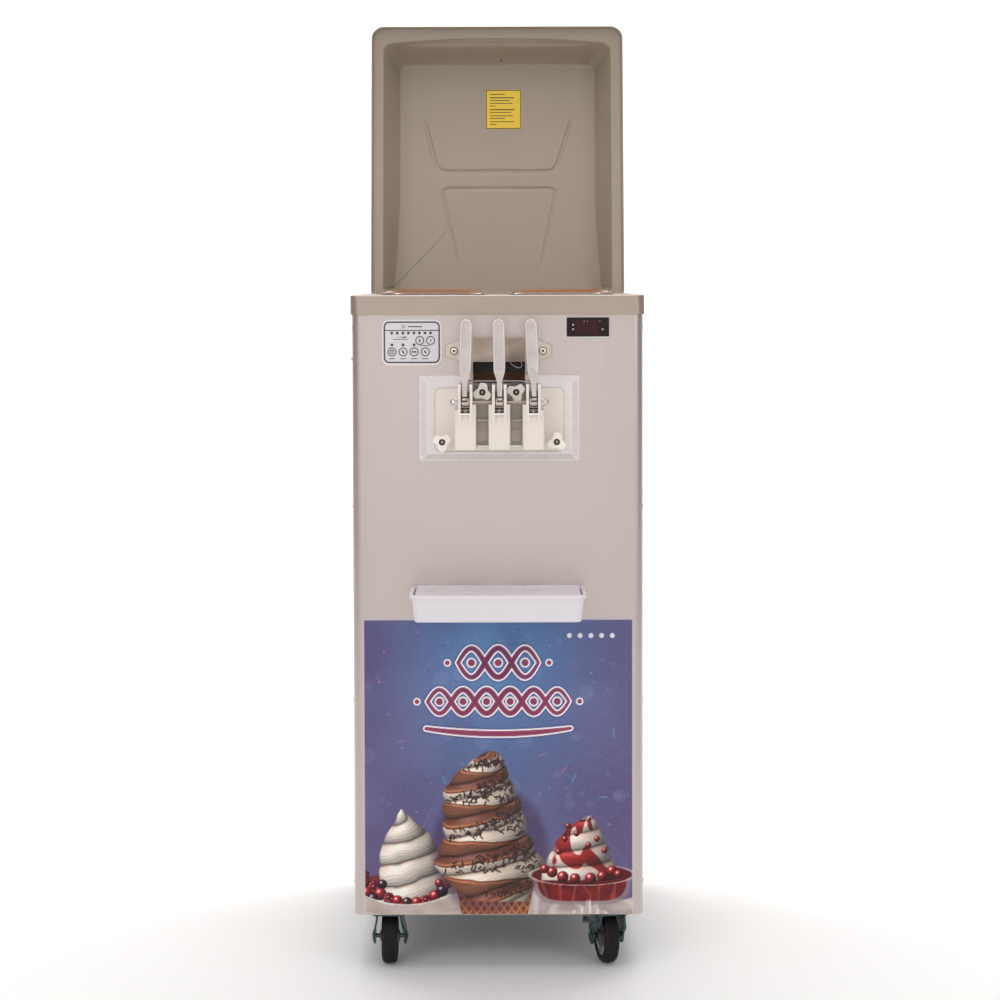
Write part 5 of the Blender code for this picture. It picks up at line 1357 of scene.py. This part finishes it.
def scoop(art, base, top, line, widths, turns, slant, sag, paint, seed, bulge=0.07):
    """A swirl of soft serve: a rope wound upwards on a cone and shaded as round strands."""
    h = (art.v - base) / (top - base)
    middle = np.interp(h, [k for k, _ in line], [x for _, x in line])
    width = np.interp(h, [k for k, _ in widths], [w for _, w in widths])
    wobble = (art.cloud(0.022, 0.022, seed) - 0.5) * 0.5
    s = (art.u - middle) / width
    dome = np.sqrt(np.clip(1 - s * s, 0, 1))
    wind = turns * (1 - (1 - np.clip(h + sag * dome, 0, 1.2).clip(0, 1)) ** 0.86) + slant * s + 0.28 * wobble
    part = wind - np.floor(wind)
    strand = np.sqrt(np.clip(1 - (2 * part - 1) ** 2, 0, 1))
    edge = 1 + bulge * (strand - 0.55)
    inside = (1 - eased(np.abs(s), edge - 0.022, edge + 0.012)) * eased(h, -0.004,
                                                                        0.012) * (1 - eased(h, 0.985, 1.0))
    fine = np.sin(wind * 2 * pi * 6 + art.cloud(0.012, 0.012, seed + 1) * 7)
    nx, ny, nz = s * 0.92, (2 * part - 1) * 0.95 + 0.12 * fine, 0.35 + 0.9 * dome
    size = np.sqrt(nx * nx + ny * ny + nz * nz)
    light = np.clip((-0.46 * nx + 0.52 * ny + 0.72 * nz) / size, 0, 1)
    glint = np.clip((-0.26 * nx + 0.44 * ny + 0.86 * nz) / size, 0, 1) ** 30
    crease = 0.50 + 0.50 * eased(strand, 0.05, 0.75)
    colour = paint(s, wind, part)
    shaded = colour * ((0.42 + 0.68 * light) * crease)[..., None] + 255 * 0.16 * glint[..., None]
    art.lay(np.clip(shaded, 0, 255), inside)
    return inside


def blend(a, b, mask):
    mask = np.clip(mask, 0, 1)[..., None]
    return np.asarray(a, float) * (1 - mask) + np.asarray(b, float) * mask


def paint_backdrop(art):
    plum, blue = (99, 88, 130), (88, 130, 180)
    beside = ((art.u / art.width - 0.5) / 0.34) ** 2
    above = ((art.v / art.height - 0.92) / 0.50) ** 2
    art.rgb = blend(plum, blue, np.exp(-beside - above))
    art.glow((60, 66, 92), 0.20 * eased(art.cloud(0.11, 0.10, 3), 0.45, 0.95))
    art.lay((74, 60, 104), 0.28 * eased(art.cloud(0.09, 0.12, 4), 0.55, 1.0))
    rng = np.random.RandomState(11)
    for _ in range(46):
        u, v, size = rng.rand() * 0.50, 0.06 + rng.rand() * 0.48, 0.004 + 0.013 * rng.rand() ** 2
        art.glow((90, 92, 130), 0.16 * art.spot(u, v, size, 0.0016))
    for k in range(10):
        sweep = np.hypot((art.u - 0.252 - 0.012 * k) * (0.60 + 0.03 * k), art.v - 0.02 - 0.010 * k)
        art.glow((104, 104, 146), 0.12 * np.exp(-((sweep - 0.105 - 0.013 * k) / 0.0009) ** 2)
                 * eased(np.abs(art.u - 0.252), 0.07, 0.15))
    for _ in range(60):
        u, v, angle = 0.02 + rng.rand() * 0.46, 0.12 + rng.rand() * 0.42, rng.rand() * pi
        size = 0.0014 + 0.0016 * rng.rand()
        du, dv = size * cos(angle), size * sin(angle)
        tone = [(70, 130, 178), (150, 128, 176), (66, 86, 150), (140, 150, 190),
                (176, 120, 156)][rng.randint(5)]
        art.strokes([(u, v, u + du, v + dv)], tone, 0.0012)
    for k, (u, v, a) in enumerate(((0.440, 0.215, 0.3), (0.372, 0.262, 1.2), (0.392, 0.246, 1.4),
                                   (0.062, 0.318, 0.5), (0.155, 0.244, 2.2),
                                   (0.330, 0.292, 0.8), (0.470, 0.330, 1.9), (0.036, 0.432, 2.6))):
        line = [(u + 0.006 * t * cos(a) + 0.0022 * sin(t * 2.2) * -sin(a),
                 v + 0.006 * t * sin(a) + 0.0022 * sin(t * 2.2) * cos(a))
                for t in np.linspace(0, 2.6, 9)]
        d, _, _ = to_line(art.u, art.v, line)
        art.lay((166, 112, 150) if k % 2 else (96, 150, 190), 0.8 * (1 - eased(d, 0.0006, 0.0016)))


def paint_flourish(art):
    """Two plaited braids with a pale outline, a shallow arc under them and rows of plain dots."""
    ribbons, eyes = [], []
    for middle, level, width, height, turns in ((0.252, 0.468, 0.150, 0.0270, 3),
                                                (0.252, 0.396, 0.264, 0.0220, 6)):
        for way in (1, -1):
            strand = [(middle + width * (t - 0.5), level + way * height * sin(pi * turns * t))
                      for t in np.linspace(0, 1, 14 * turns)]
            ribbons.append((strand, 0.0050, 0.0028))
        eyes += [(middle + width * ((k + 0.5) / turns - 0.5), level, 0.0066) for k in range(turns)]
        eyes += [(middle + side * (0.5 * width + 0.020), level, 0.0044) for side in (-1, 1)]
    underline = [(0.252 + 0.135 * t, 0.346 - 0.010 * (1 - t * t)) for t in np.linspace(-1, 1, 25)]
    ribbons.append((underline, 0.0052, 0.0028))

    fields = []
    for line, half, rim in ribbons:
        d, along, run = to_line(art.u, art.v, line)
        half_here = half * (0.35 + 0.65 * np.sin(pi * np.clip(along / run * 0.92 + 0.06, 0, 1)) ** 0.5)
        fields.append((d - half_here, rim))
    outer = np.minimum.reduce([f - rim for f, rim in fields])
    inner = np.minimum.reduce([f for f, _ in fields])
    art.lay((58, 44, 96), 0.55 * (1 - eased(outer, -0.001, 0.0042)))
    art.lay((255, 250, 255), 1 - eased(outer, -0.0007, 0.0007))
    ribbon = blend((142, 56, 88), (100, 46, 84), eased(art.v, 0.33, 0.50))
    ribbon = blend(ribbon, (176, 96, 118), 0.5 * np.exp(-((inner + 0.0022) / 0.0011) ** 2))
    art.lay(ribbon, 1 - eased(inner, -0.0007, 0.0007))
    for u, v, size in eyes:
        art.lay((255, 250, 255), art.spot(u, v, size + 0.0026, 0.0007))
        art.lay((146, 64, 92), art.spot(u, v, size, 0.0007))
    for k in range(5):
        art.lay((240, 234, 246), art.spot(0.385 + 0.020 * k, 0.518, 0.0046, 0.0007))


def paint_cloth(art):
    """A pale cloth along the lower edge."""
    cloth = blend((205, 190, 184), (168, 152, 150), art.cloud(0.030, 0.012, 21))
    fold = 0.5 + 0.5 * np.sin(art.u * 150 + 8 * art.cloud(0.05, 0.03, 22))
    cloth = blend(cloth, (232, 222, 218), 0.6 * eased(fold, 0.55, 1.0))
    hem = 0.040 + 0.010 * np.sin(art.u * 22 + 1.0) + 0.006 * np.sin(art.u * 61)
    art.lay(cloth, 1 - eased(art.v, hem - 0.002, hem + 0.002))


def paint_white_swirl(art):
    """A white swirl in a glass bowl with berries round it."""
    bowl = art.oval(0.078, 0.052, 0.098, 0.048)
    body = blend((214, 198, 190), (150, 132, 130),
                 eased(art.oval(0.050, 0.030, 0.10, 0.05), 0.2, 1.1))
    art.lay(body, (1 - eased(bowl, 0.99, 1.02)) * (1 - eased(art.v, 0.060, 0.064)))
    art.lay((120, 40, 44), 1 - eased(art.oval(0.078, 0.058, 0.092, 0.018), 0.98, 1.03))

    def cream(s, wind, part):
        return blend((240, 228, 216), (214, 196, 182), eased(part, 0.55, 1.0))

    scoop(art, 0.026, 0.197, [(0.0, 0.0920), (0.31, 0.0900), (0.56, 0.0860), (0.72, 0.0835), (0.84, 0.0790),
                              (0.95, 0.0715), (1.0, 0.0705)],
          [(0.0, 0.052), (0.06, 0.0570), (0.31, 0.0605), (0.50, 0.0560), (0.62, 0.0500), (0.72, 0.0400),
           (0.80, 0.0290), (0.87, 0.0175),
           (0.93, 0.0100), (0.97, 0.0048), (1.0, 0.0010)],
          4.6, -0.42, 0.050, cream, 31, 0.09)
    berries = [(-0.002, 0.060, 0.0125, 0), (0.018, 0.050, 0.0120, 1), (0.004, 0.040, 0.0115, 0),
               (0.030, 0.038, 0.0120, 0), (0.016, 0.030, 0.0100, 2), (0.046, 0.030, 0.0110, 1),
               (0.062, 0.025, 0.0105, 0), (0.080, 0.022, 0.0100, 2), (0.098, 0.022, 0.0105, 0),
               (0.116, 0.026, 0.0105, 1), (0.132, 0.034, 0.0110, 0), (0.146, 0.044, 0.0115, 2),
               (0.034, 0.056, 0.0090, 2), (0.140, 0.058, 0.0080, 0), (0.156, 0.056, 0.0085, 1),
               (0.072, 0.014, 0.0090, 1), (0.108, 0.013, 0.0085, 0), (0.002, 0.074, 0.0080, 1)]
    for u, v, radius, kind in berries:
        tone = ((166, 34, 36), (126, 26, 34), (52, 24, 40))[kind]
        if kind == 1:
            for k in range(9):
                a = 2 * pi * k / 9 + 0.3
                art.ball(u + radius * 0.62 * cos(a), v + radius * 0.62 * sin(a), radius * 0.40, tone, 0.45)
            art.ball(u - radius * 0.05, v + radius * 0.05, radius * 0.48, tone, 0.5)
        else:
            art.ball(u, v, radius, tone, 0.75)
    front = art.oval(0.086, 0.030, 0.100, 0.036)
    lip = 0.020 + 0.020 * ((art.u - 0.078) / 0.085) ** 2
    glass = blend((206, 192, 186), (176, 158, 152), art.cloud(0.02, 0.02, 23))
    art.lay(glass, (1 - eased(front, 0.97, 1.03)) * (1 - eased(art.v, lip - 0.006, lip - 0.003)))
    art.lay((244, 238, 232), np.exp(-((art.v - lip + 0.003) / 0.0016) ** 2)
            * (1 - eased(np.abs(art.u - 0.078), 0.082, 0.088)))


def paint_sprinkles(art, line, widths, turns, inside):
    """Short dark grains on the swirl, thicker on its right, each with a soft shadow."""
    rng = np.random.RandomState(5)
    places = []
    while len(places) < 360:
        h, x = rng.rand() ** 0.9, rng.rand() * 2 - 1
        v = 0.034 + 0.255 * h
        hh = (v - 0.026) / 0.277
        w = float(np.interp(hh, [k for k, _ in widths], [k for _, k in widths]))
        u = float(np.interp(hh, [k for k, _ in line], [k for _, k in line])) + x * w * 0.94
        if sin(hh * turns * pi - x * 1.4 + 1.0) + 0.9 * x > -0.35 + 0.9 * rng.rand():
            angle, size = rng.rand() * pi, 0.0026 + 0.0016 * rng.rand()
            places.append((u - size * cos(angle), v - size * sin(angle), u + size * cos(angle),
                           v + size * sin(angle)))
    before = art.rgb.copy()
    for u0, v0, u1, v1 in places:
        i0, i1 = int((min(u0, u1) - 0.003) / art.width * art.columns), int((max(u0, u1) + 0.003) / art.width
                                                                           * art.columns) + 2
        j0, j1 = int((min(v0, v1) - 0.003) / art.height * art.rows), int((max(v0, v1) + 0.003) / art.height
                                                                         * art.rows) + 2
        i0, j0 = max(i0, 0), max(j0, 0)
        u, v = art.u[j0:j1, i0:i1], art.v[j0:j1, i0:i1]
        du, dv = u1 - u0, v1 - v0
        t = np.clip(((u - u0) * du + (v - v0) * dv) / (du * du + dv * dv), 0, 1)
        d = np.hypot(u - u0 - t * du, v - v0 - t * dv)
        shade = (1 - eased(np.hypot(u - u0 - t * du - 0.0006, v - v0 - t * dv + 0.0009), 0.0008,
                           0.0022))[..., None] * 0.35
        art.rgb[j0:j1, i0:i1] *= 1 - shade
        grain = (1 - eased(d, 0.0009, 0.0017))[..., None]
        tone = np.array((52, 32, 34), float) + 46 * eased(-d, -0.0008, 0.0)[..., None] * 0.6
        art.rgb[j0:j1, i0:i1] = art.rgb[j0:j1, i0:i1] * (1 - grain) + tone * grain
    art.rgb = before * (1 - inside[..., None]) + art.rgb * inside[..., None]


def paint_two_colour_swirl(art):
    """A brown and white swirl with sprinkles on a waffle cone."""
    wide = 0.062 + 0.013 * art.v / 0.060
    s = (art.u - 0.2445) / wide
    mask = (1 - eased(np.abs(s), 0.985, 1.01)) * (1 - eased(art.v, 0.052, 0.058))
    a, b = (art.u * 0.86 + art.v * 0.62) / 0.0125, (art.u * 0.86 - art.v * 0.62) / 0.0125
    ridge = np.maximum(1 - np.abs((a % 1) - 0.5) / 0.22, 1 - np.abs((b % 1) - 0.5) / 0.22).clip(0, 1)
    waffle = blend((136, 66, 40), (226, 160, 98), eased(ridge, 0.0, 0.9))
    waffle = blend(waffle, (178, 96, 58), 0.5 * art.cloud(0.012, 0.012, 24))
    waffle = waffle * (0.62 + 0.46 * np.sqrt(np.clip(1 - (s * 0.92) ** 2, 0, 1)))[..., None]
    art.lay(np.clip(waffle, 0, 255), mask)
    art.lay((84, 44, 34), 0.55 * mask * eased(art.v, 0.040, 0.058))

    def twist(s, wind, part):
        swap = 0.5 + 0.38 * np.sin(2 * pi * (wind * 0.5 + 0.16 * s + 0.30)) + 0.22 * s
        brown = blend((150, 96, 74), (98, 54, 44), eased(part, 0.2, 1.0))
        white = blend((242, 224, 208), (208, 184, 166), eased(part, 0.5, 1.0))
        mixed = blend(brown, white, eased(swap, 0.50, 0.58))
        mixed = blend(mixed, (206, 138, 92), 0.75 * np.exp(-((swap - 0.40) / 0.07) ** 2))
        return blend(mixed, (116, 44, 26), 0.85 * np.exp(-((swap - 0.50) / 0.035) ** 2))

    line = [(0.0, 0.2480), (0.12, 0.2430), (0.27, 0.2340), (0.43, 0.2295), (0.59, 0.2235), (0.744, 0.2160),
            (0.86, 0.2230), (0.94, 0.2340), (1.0, 0.2410)]
    widths = [(0.0, 0.056), (0.05, 0.062), (0.12, 0.0780), (0.19, 0.0960), (0.27, 0.1010), (0.34, 0.0900),
              (0.43, 0.0780), (0.59, 0.0735), (0.70, 0.0690), (0.78, 0.0590), (0.86, 0.0440),
              (0.93, 0.0300), (0.975, 0.0170), (1.0, 0.0040)]
    art.lay((60, 40, 70), 0.5 * (1 - eased(art.oval(0.236, 0.120, 0.112, 0.125), 0.86, 1.06)))
    turns = 8.6
    inside = scoop(art, 0.022, 0.306, line, widths, turns, -0.62, 0.050, twist, 41, 0.11)
    paint_sprinkles(art, line, widths, turns, inside)


def paint_dish(art):
    """A red glass dish with a sauced swirl."""
    rim = art.oval(0.408, 0.073, 0.098, 0.020)
    dish = (np.abs((art.u - 0.408) / 0.090) ** 4.5 + np.abs((art.v - 0.074) / 0.056) ** 3.2) ** 0.25
    red = blend((138, 30, 30), (88, 24, 30), art.cloud(0.018, 0.010, 25))
    streaks = np.sin(art.u * 240 + 5 * art.cloud(0.03, 0.03, 26))
    red = blend(red, (190, 96, 84), 0.5 * eased(streaks, 0.75, 1.0))
    art.lay((150, 128, 134), 0.75 * (1 - eased(dish, 0.99, 1.05)) * (1 - eased(art.v, 0.072, 0.076)))
    art.lay(red, (1 - eased(dish, 0.90, 0.94)) * (1 - eased(art.v, 0.070, 0.075)))
    art.lay((96, 22, 26), 1 - eased(rim, 0.93, 0.97))
    art.lay((226, 210, 206), 0.8 * np.exp(-((rim - 1.0) / 0.030) ** 2)
            * (1 - eased(art.v, 0.080, 0.100) * 0.5))

    def berry_cream(s, wind, part):
        white = blend((246, 230, 222), (220, 184, 174), eased(part, 0.5, 1.0))
        veil = art.cloud(0.020, 0.034, 27) + 0.20 * np.sin(9 * s + 3 * wind)
        return blend(white, (162, 42, 38), eased(veil, 0.62, 0.70))

    scoop(art, 0.062, 0.184, [(0.0, 0.4040), (0.5, 0.4050), (0.8, 0.4110), (0.93, 0.4190), (1.0, 0.4250)],
          [(0.0, 0.070), (0.14, 0.0680), (0.40, 0.056), (0.62, 0.044), (0.78, 0.031), (0.89, 0.019),
           (0.96, 0.009), (1.0, 0.002)], 4.2, -0.24, 0.05, berry_cream, 51, 0.10)
    for u, v, radius in ((0.352, 0.078, 0.0105), (0.372, 0.069, 0.0110), (0.395, 0.066, 0.0100),
                         (0.424, 0.066, 0.0110), (0.446, 0.070, 0.0100),
                         (0.464, 0.080, 0.0100), (0.338, 0.084, 0.0085), (0.476, 0.074, 0.0080)):
        art.ball(u, v, radius, (160, 36, 34), 0.8)
    for u, v in ((0.382, 0.164), (0.398, 0.150), (0.376, 0.140), (0.436, 0.140), (0.450, 0.118),
                 (0.364, 0.116), (0.420, 0.128)):
        art.ball(u, v, 0.0058, (150, 40, 36), 0.7)
    stem = (1 - eased(np.abs(art.u - 0.420) - 0.004 - 0.034 * eased(0.016 - art.v, 0.0, 0.016), 0.0,
                      0.0015)) * (1 - eased(art.v, 0.020, 0.030))
    art.lay(blend((196, 182, 180), (238, 230, 228), eased(np.sin(art.u * 420), 0.2, 0.9)), 0.85 * stem)


SHEET = ((-0.2487, 0.2487), (0.1062, 0.6546))


def build_sheet():
    """The printed film on the lower front: a fine grid whose vertices carry the drawing as colours."""
    (x0, x1), (z0, z1) = SHEET
    art = Print(0.504, 0.549, 0.00127)
    paint_backdrop(art)
    paint_cloth(art)
    paint_white_swirl(art)
    paint_two_colour_swirl(art)
    paint_dish(art)
    paint_flourish(art)
    edge = np.minimum.reduce([art.height - art.v, art.u, art.width - art.u])
    art.lay((214, 206, 212), 1 - eased(edge, 0.0010, 0.0020))
    art.rgb = np.clip(art.rgb + (art.cloud(0.002, 0.002, 61)[..., None] - 0.5) * 8, 0, 255)

    value = art.rgb / 255.0
    linear = np.where(value <= 0.04045, value / 12.92, ((value + 0.055) / 1.055) ** 2.4)
    rows, columns = art.u.shape
    x = x0 + (x1 - x0) * art.u / art.width
    z = z0 + (z1 - z0) * art.v / art.height
    front = np.stack([x, np.full_like(x, FRONT - 0.0007), z], axis=-1).reshape(-1, 3)
    index = np.arange(rows * columns).reshape(rows, columns)
    corners = [index[:-1, :-1], index[:-1, 1:], index[1:, 1:], index[1:, :-1]]
    faces = np.stack(corners, axis=-1).reshape(-1, 4).tolist()
    border = [*index[0, :], *index[1:, -1], *index[-1, -2::-1], *index[-2:0:-1, 0]]
    back_start = len(front)
    back = front[border] + (0, 0.0004, 0)
    points = np.concatenate([front, back])
    count = len(border)
    for i in range(count):
        j = (i + 1) % count
        faces.append((int(border[j]), int(border[i]), back_start + i, back_start + j))
    faces.append(tuple(range(back_start, back_start + count)))
    mesh = bpy.data.meshes.new("printed_film")
    mesh.from_pydata(points.tolist(), [], faces)
    layer = mesh.color_attributes.new("print", "FLOAT_COLOR", "POINT")
    tones = np.ones((len(points), 4))
    tones[:len(front), :3] = linear.reshape(-1, 3)
    tones[len(front):, :3] = 0.5
    layer.data.foreach_set("color", tones.ravel())
    film = bpy.data.objects.new("printed_film", mesh)
    bpy.context.scene.collection.objects.link(film)
    finish = Finish("graphic_film", (0.2, 0.2, 0.4), 0.50, Specular_IOR_Level=0.22)
    finish.colour = finish.node("ShaderNodeVertexColor", layer_name="print")
    finish.tint(finish.grain((5.0, 5.0, 5.0), 3.0), (0.30, 0.28, 0.34), 0.04)
    finish.roughen(finish.grain((18.0, 18.0, 18.0), 4.0), 0.44, 0.58)
    finish.bump(finish.grain((30.0, 30.0, 26.0), 3.0), 0.0002, 0.10)
    place(film, "printed_film", "cabinet", "graphic_film", "graphic_film", material=finish.material)


# ---- hoppers, covers and feed tubes --------------------------------------------------------------
HOPPER_X, HOPPER_Y, HOPPER_RIM = 0.121, -0.040, 1.2525


def tub_ring(side, half_width, half_length, radius, z):
    cx = side * HOPPER_X
    line = rounded_rect(cx - half_width, cx + half_width, HOPPER_Y - half_length, HOPPER_Y + half_length,
                        radius, 10)
    return [(x, y, z) for x, y in line]


def build_hoppers():
    for name, side in (("left", -1), ("right", 1)):
        profile = [(0.0845, 0.1555, 0.0160, 1.1082), (0.0900, 0.1610, 0.0170, 1.1096),
                   (0.0930, 0.1640, 0.0180, 1.1150), (0.0938, 0.1654, 0.0185, 1.1200),
                   (0.0938, 0.1654, 0.0185, 1.2500), (0.0950, 0.1668, 0.0200, 1.2516),
                   (0.0990, 0.1710, 0.0240, 1.2518), (0.0998, 0.1716, 0.0250, 1.2523),
                   (0.0996, 0.1714, 0.0250, 1.2529), (0.0980, 0.1700, 0.0240, 1.2532),
                   (0.0945, 0.1664, 0.0210, 1.2528), (0.0930, 0.1648, 0.0200, 1.2512),
                   (0.0925, 0.1642, 0.0200, 1.2480), (0.0925, 0.1642, 0.0200, 1.1210),
                   (0.0915, 0.1630, 0.0195, 1.1150), (0.0885, 0.1600, 0.0180, 1.1115),
                   (0.0835, 0.1550, 0.0160, 1.1102)]
        tub = loft([tub_ring(side, *row) for row in profile])
        outlet = turned([(0.0138, 1.0888), (0.0140, 1.0892), (0.0140, 1.1112), (0.0100, 1.1112),
                         (0.0100, 1.0892), (0.0104, 1.0888)], 48)
        moved(outlet, shift((HEAD_X + side * PITCH, -0.100, 0)))
        place(gathered((soft(tub, angle=40), STEEL_TUB), (soft(outlet), STEEL_TUB)), f"mix_tub_{name}",
              "cabinet", "brushed_steel", f"hopper_{name}")

        dome = [(0.0480, 0.1100, 0.0340, 0.0106), (0.0620, 0.1260, 0.0340, 0.0102),
                (0.0740, 0.1410, 0.0330, 0.0090), (0.0830, 0.1520, 0.0310, 0.0068),
                (0.0885, 0.1590, 0.0290, 0.0044), (0.0912, 0.1632, 0.0270, 0.0024),
                (0.0935, 0.1655, 0.0260, 0.0018), (0.0940, 0.1660, 0.0260, 0.0013),
                (0.0940, 0.1660, 0.0260, 0.0008), (0.0900, 0.1620, 0.0240, 0.0008),
                (0.0800, 0.1490, 0.0300, 0.0050), (0.0600, 0.1240, 0.0340, 0.0082)]
        cover = loft([tub_ring(side, w, l, r, HOPPER_RIM + 0.0006 + rise) for w, l, r, rise in dome])
        place(soft(cover, angle=50), f"amber_cover_{name}", f"cover_{name}", "amber_plastic",
              f"hopper_cover_{name}", material=AMBER)

        pipe = turned([(0.0084, 0.1030), (0.0090, 0.1024), (0.0090, 0.0176), (0.0096, 0.0170),
                       (0.0130, 0.0170), (0.0135, 0.0165), (0.0135, 0.0135), (0.0130, 0.0130),
                       (0.0090, 0.0130), (0.0086, 0.0002), (0.0065, 0.0002), (0.0065, 0.1024),
                       (0.0071, 0.1030)], 48)
        moved(pipe, shift((HEAD_X + side * PITCH, -0.100, 1.0990)))
        place(soft(pipe), f"mix_pipe_{name}", f"tube_{name}", "white_plastic", f"feed_tube_{name}",
              material=WHITE_PLASTIC)


# ---- panels: louvre hoods, screws, rocker and gland ----------------------------------------------
def louvre_hood(centre, z, depth):
    """A pressed scoop above one slot, standing out from a face at zero towards -Z of its own frame."""
    rings = []
    for t in np.linspace(-1, 1, 15):
        swell = depth * float((1 - abs(t) ** 5)) ** 0.5 + 0.0002
        across = [(swell * sin(radians(a)) ** 0.8, 0.0058 - 0.0100 * (1 - cos(radians(a))))
                  for a in range(0, 91, 18)]
        inner = [(max(0.0, out - 0.0007), up - 0.0006) for out, up in reversed(across)]
        rings.append([(centre + 0.0620 * float(t), -out, z + up) for out, up in across + inner])
    return soft(loft(rings), angle=50)


def build_panel_fittings():
    half = 0.2675
    side_slots = [(-0.09, 0.20, 8), (0.12, 0.20, 8), (-0.09, 0.74, 5), (0.12, 0.74, 5)]
    rear_slots = [(-0.10, 0.24, 8), (0.10, 0.24, 8), (-0.10, 0.88, 6), (0.10, 0.88, 6)]
    for name, slots, turn in (("left", side_slots, -1), ("right", side_slots, 1), ("rear", rear_slots, 0)):
        hoods = []
        for centre, z_first, rows in slots:
            for row in range(rows):
                away = 0.0026 if turn else 0.0042
                hoods.append((louvre_hood(turn * centre if turn else -centre, z_first + 0.030 * row, away),
                              STEEL_SIDE))
        heads = []
        from_middle = 0.255 * 1.06 if turn else 0.255
        for across in (-from_middle, from_middle):
            for height in (0.16, 0.50, 0.86, 1.19):
                head = screw(0.0042, 0.0020, NUT_METAL)
                heads.append((moved(head, shift((across, 0, height)) @ FACE_FRONT), NUT_METAL))
        fittings = gathered(*hoods, *heads)
        if turn:
            to_face = shift((turn * half, 0, 0)) @ spin(turn * 90, "Z")
        else:
            to_face = shift((0, REAR, 0)) @ spin(180, "Z")
        place(moved(fittings, to_face), f"{name}_louvres", "cabinet", "brushed_steel")

    gland = turned([(0.0150, 0.0004), (0.0150, 0.0016), (0.0145, 0.0020), (0.0145, 0.0110),
                    (0.0138, 0.0118), (0.0108, 0.0124), (0.0106, 0.0160), (0.0098, 0.0222),
                    (0.0084, 0.0252), (0.0072, 0.0260), (0.0047, 0.0260), (0.0045, 0.0256),
                    (0.0045, -0.0118), (0.0047, -0.0120), (0.0096, -0.0120), (0.0098, -0.0118),
                    (0.0098, 0.0004)], 48)
    flats(gland, 0.0128, 0.0130, 0.0018, 0.0119)
    moved(gland, shift((0.190, REAR, 0.180)) @ spin(-90, "X"))
    place(soft(gland), "cable_gland_nut", "cabinet", "panel_black", "cable_gland", material=BLACK)

    y, z = -0.225, 1.126
    surround = side_plate([rounded_rect(y - 0.0100, y + 0.0100, z - 0.0145, z + 0.0145, 0.0015, 4),
                           rounded_rect(y - 0.0066, y + 0.0066, z - 0.0110, z + 0.0110, 0.0006, 3)],
                           -half - 0.0014, -half - 0.0002)
    place(soft(surround, 0.0004, 2), "rocker_surround", "cabinet", "panel_black", material=BLACK)
    tilt = shift((-half + 0.0005, y, z)) @ spin(-24, "Y")
    line = [(-0.0030, 0.0092), (-0.0024, 0.0040), (-0.0021, 0.0), (-0.0024, -0.0040), (-0.0030, -0.0092),
            (-0.0018, -0.0095), (0.0100, -0.0085), (0.0100, 0.0085), (-0.0018, 0.0095)]
    key = soft(moved(plate([line], 0.0114), FACE_FRONT), 0.0006, 3)
    stroke = box((-0.0031, -0.0003, 0.0046), (-0.0025, 0.0003, 0.0076))
    place(moved(gathered((key, BLACK), (stroke, KEY_WHITE)), tilt), "rocker_key", "rocker", "panel_black",
          "power_switch")


# ---- whole machine -------------------------------------------------------------------------------
FINISH_OF_SLOT = {
    "brushed_steel": STEEL, "frame_paint": FRAME_PAINT, "lid_plastic": LID_PLASTIC,
    "white_plastic": WHITE_PLASTIC,
    "cream_plastic": CREAM_PLASTIC, "amber_plastic": AMBER, "cast_lever": LEVER_METAL, "panel_black": BLACK,
    "graphic_film": BLACK, "tyre_rubber": RUBBER, "zinc_plate": ZINC, "motor_paint": MOTOR_PAINT,
    "aluminium": ALUMINIUM,
}


def dress_the_rest():
    """Every CAD node that still shows gets the finish of its slot."""
    slots = {s["node"]: s["material_slot"] for s in frame["record"]["subparts"]}
    own = {"top_deck": STEEL_DECK, "left_side_panel": STEEL_SIDE, "right_side_panel": STEEL_SIDE,
           "rear_panel": STEEL_SIDE}
    for name, obj in NODES.items():
        if not obj.hide_render:
            rounding = 0.0006 if name == "top_deck" else 0.0
            dress(name, own.get(name, FINISH_OF_SLOT[slots[name]]), rounding)


build_stage()
build_lights()
build_camera()
build_bezel()
build_head()
build_levers()
build_pivot()
build_knobs()
build_key_panel()
build_display()
build_hood()
build_tray()
build_lid()
build_lid_hinge()
build_casters()
build_sheet()
build_hoppers()
build_panel_fittings()
dress_the_rest()
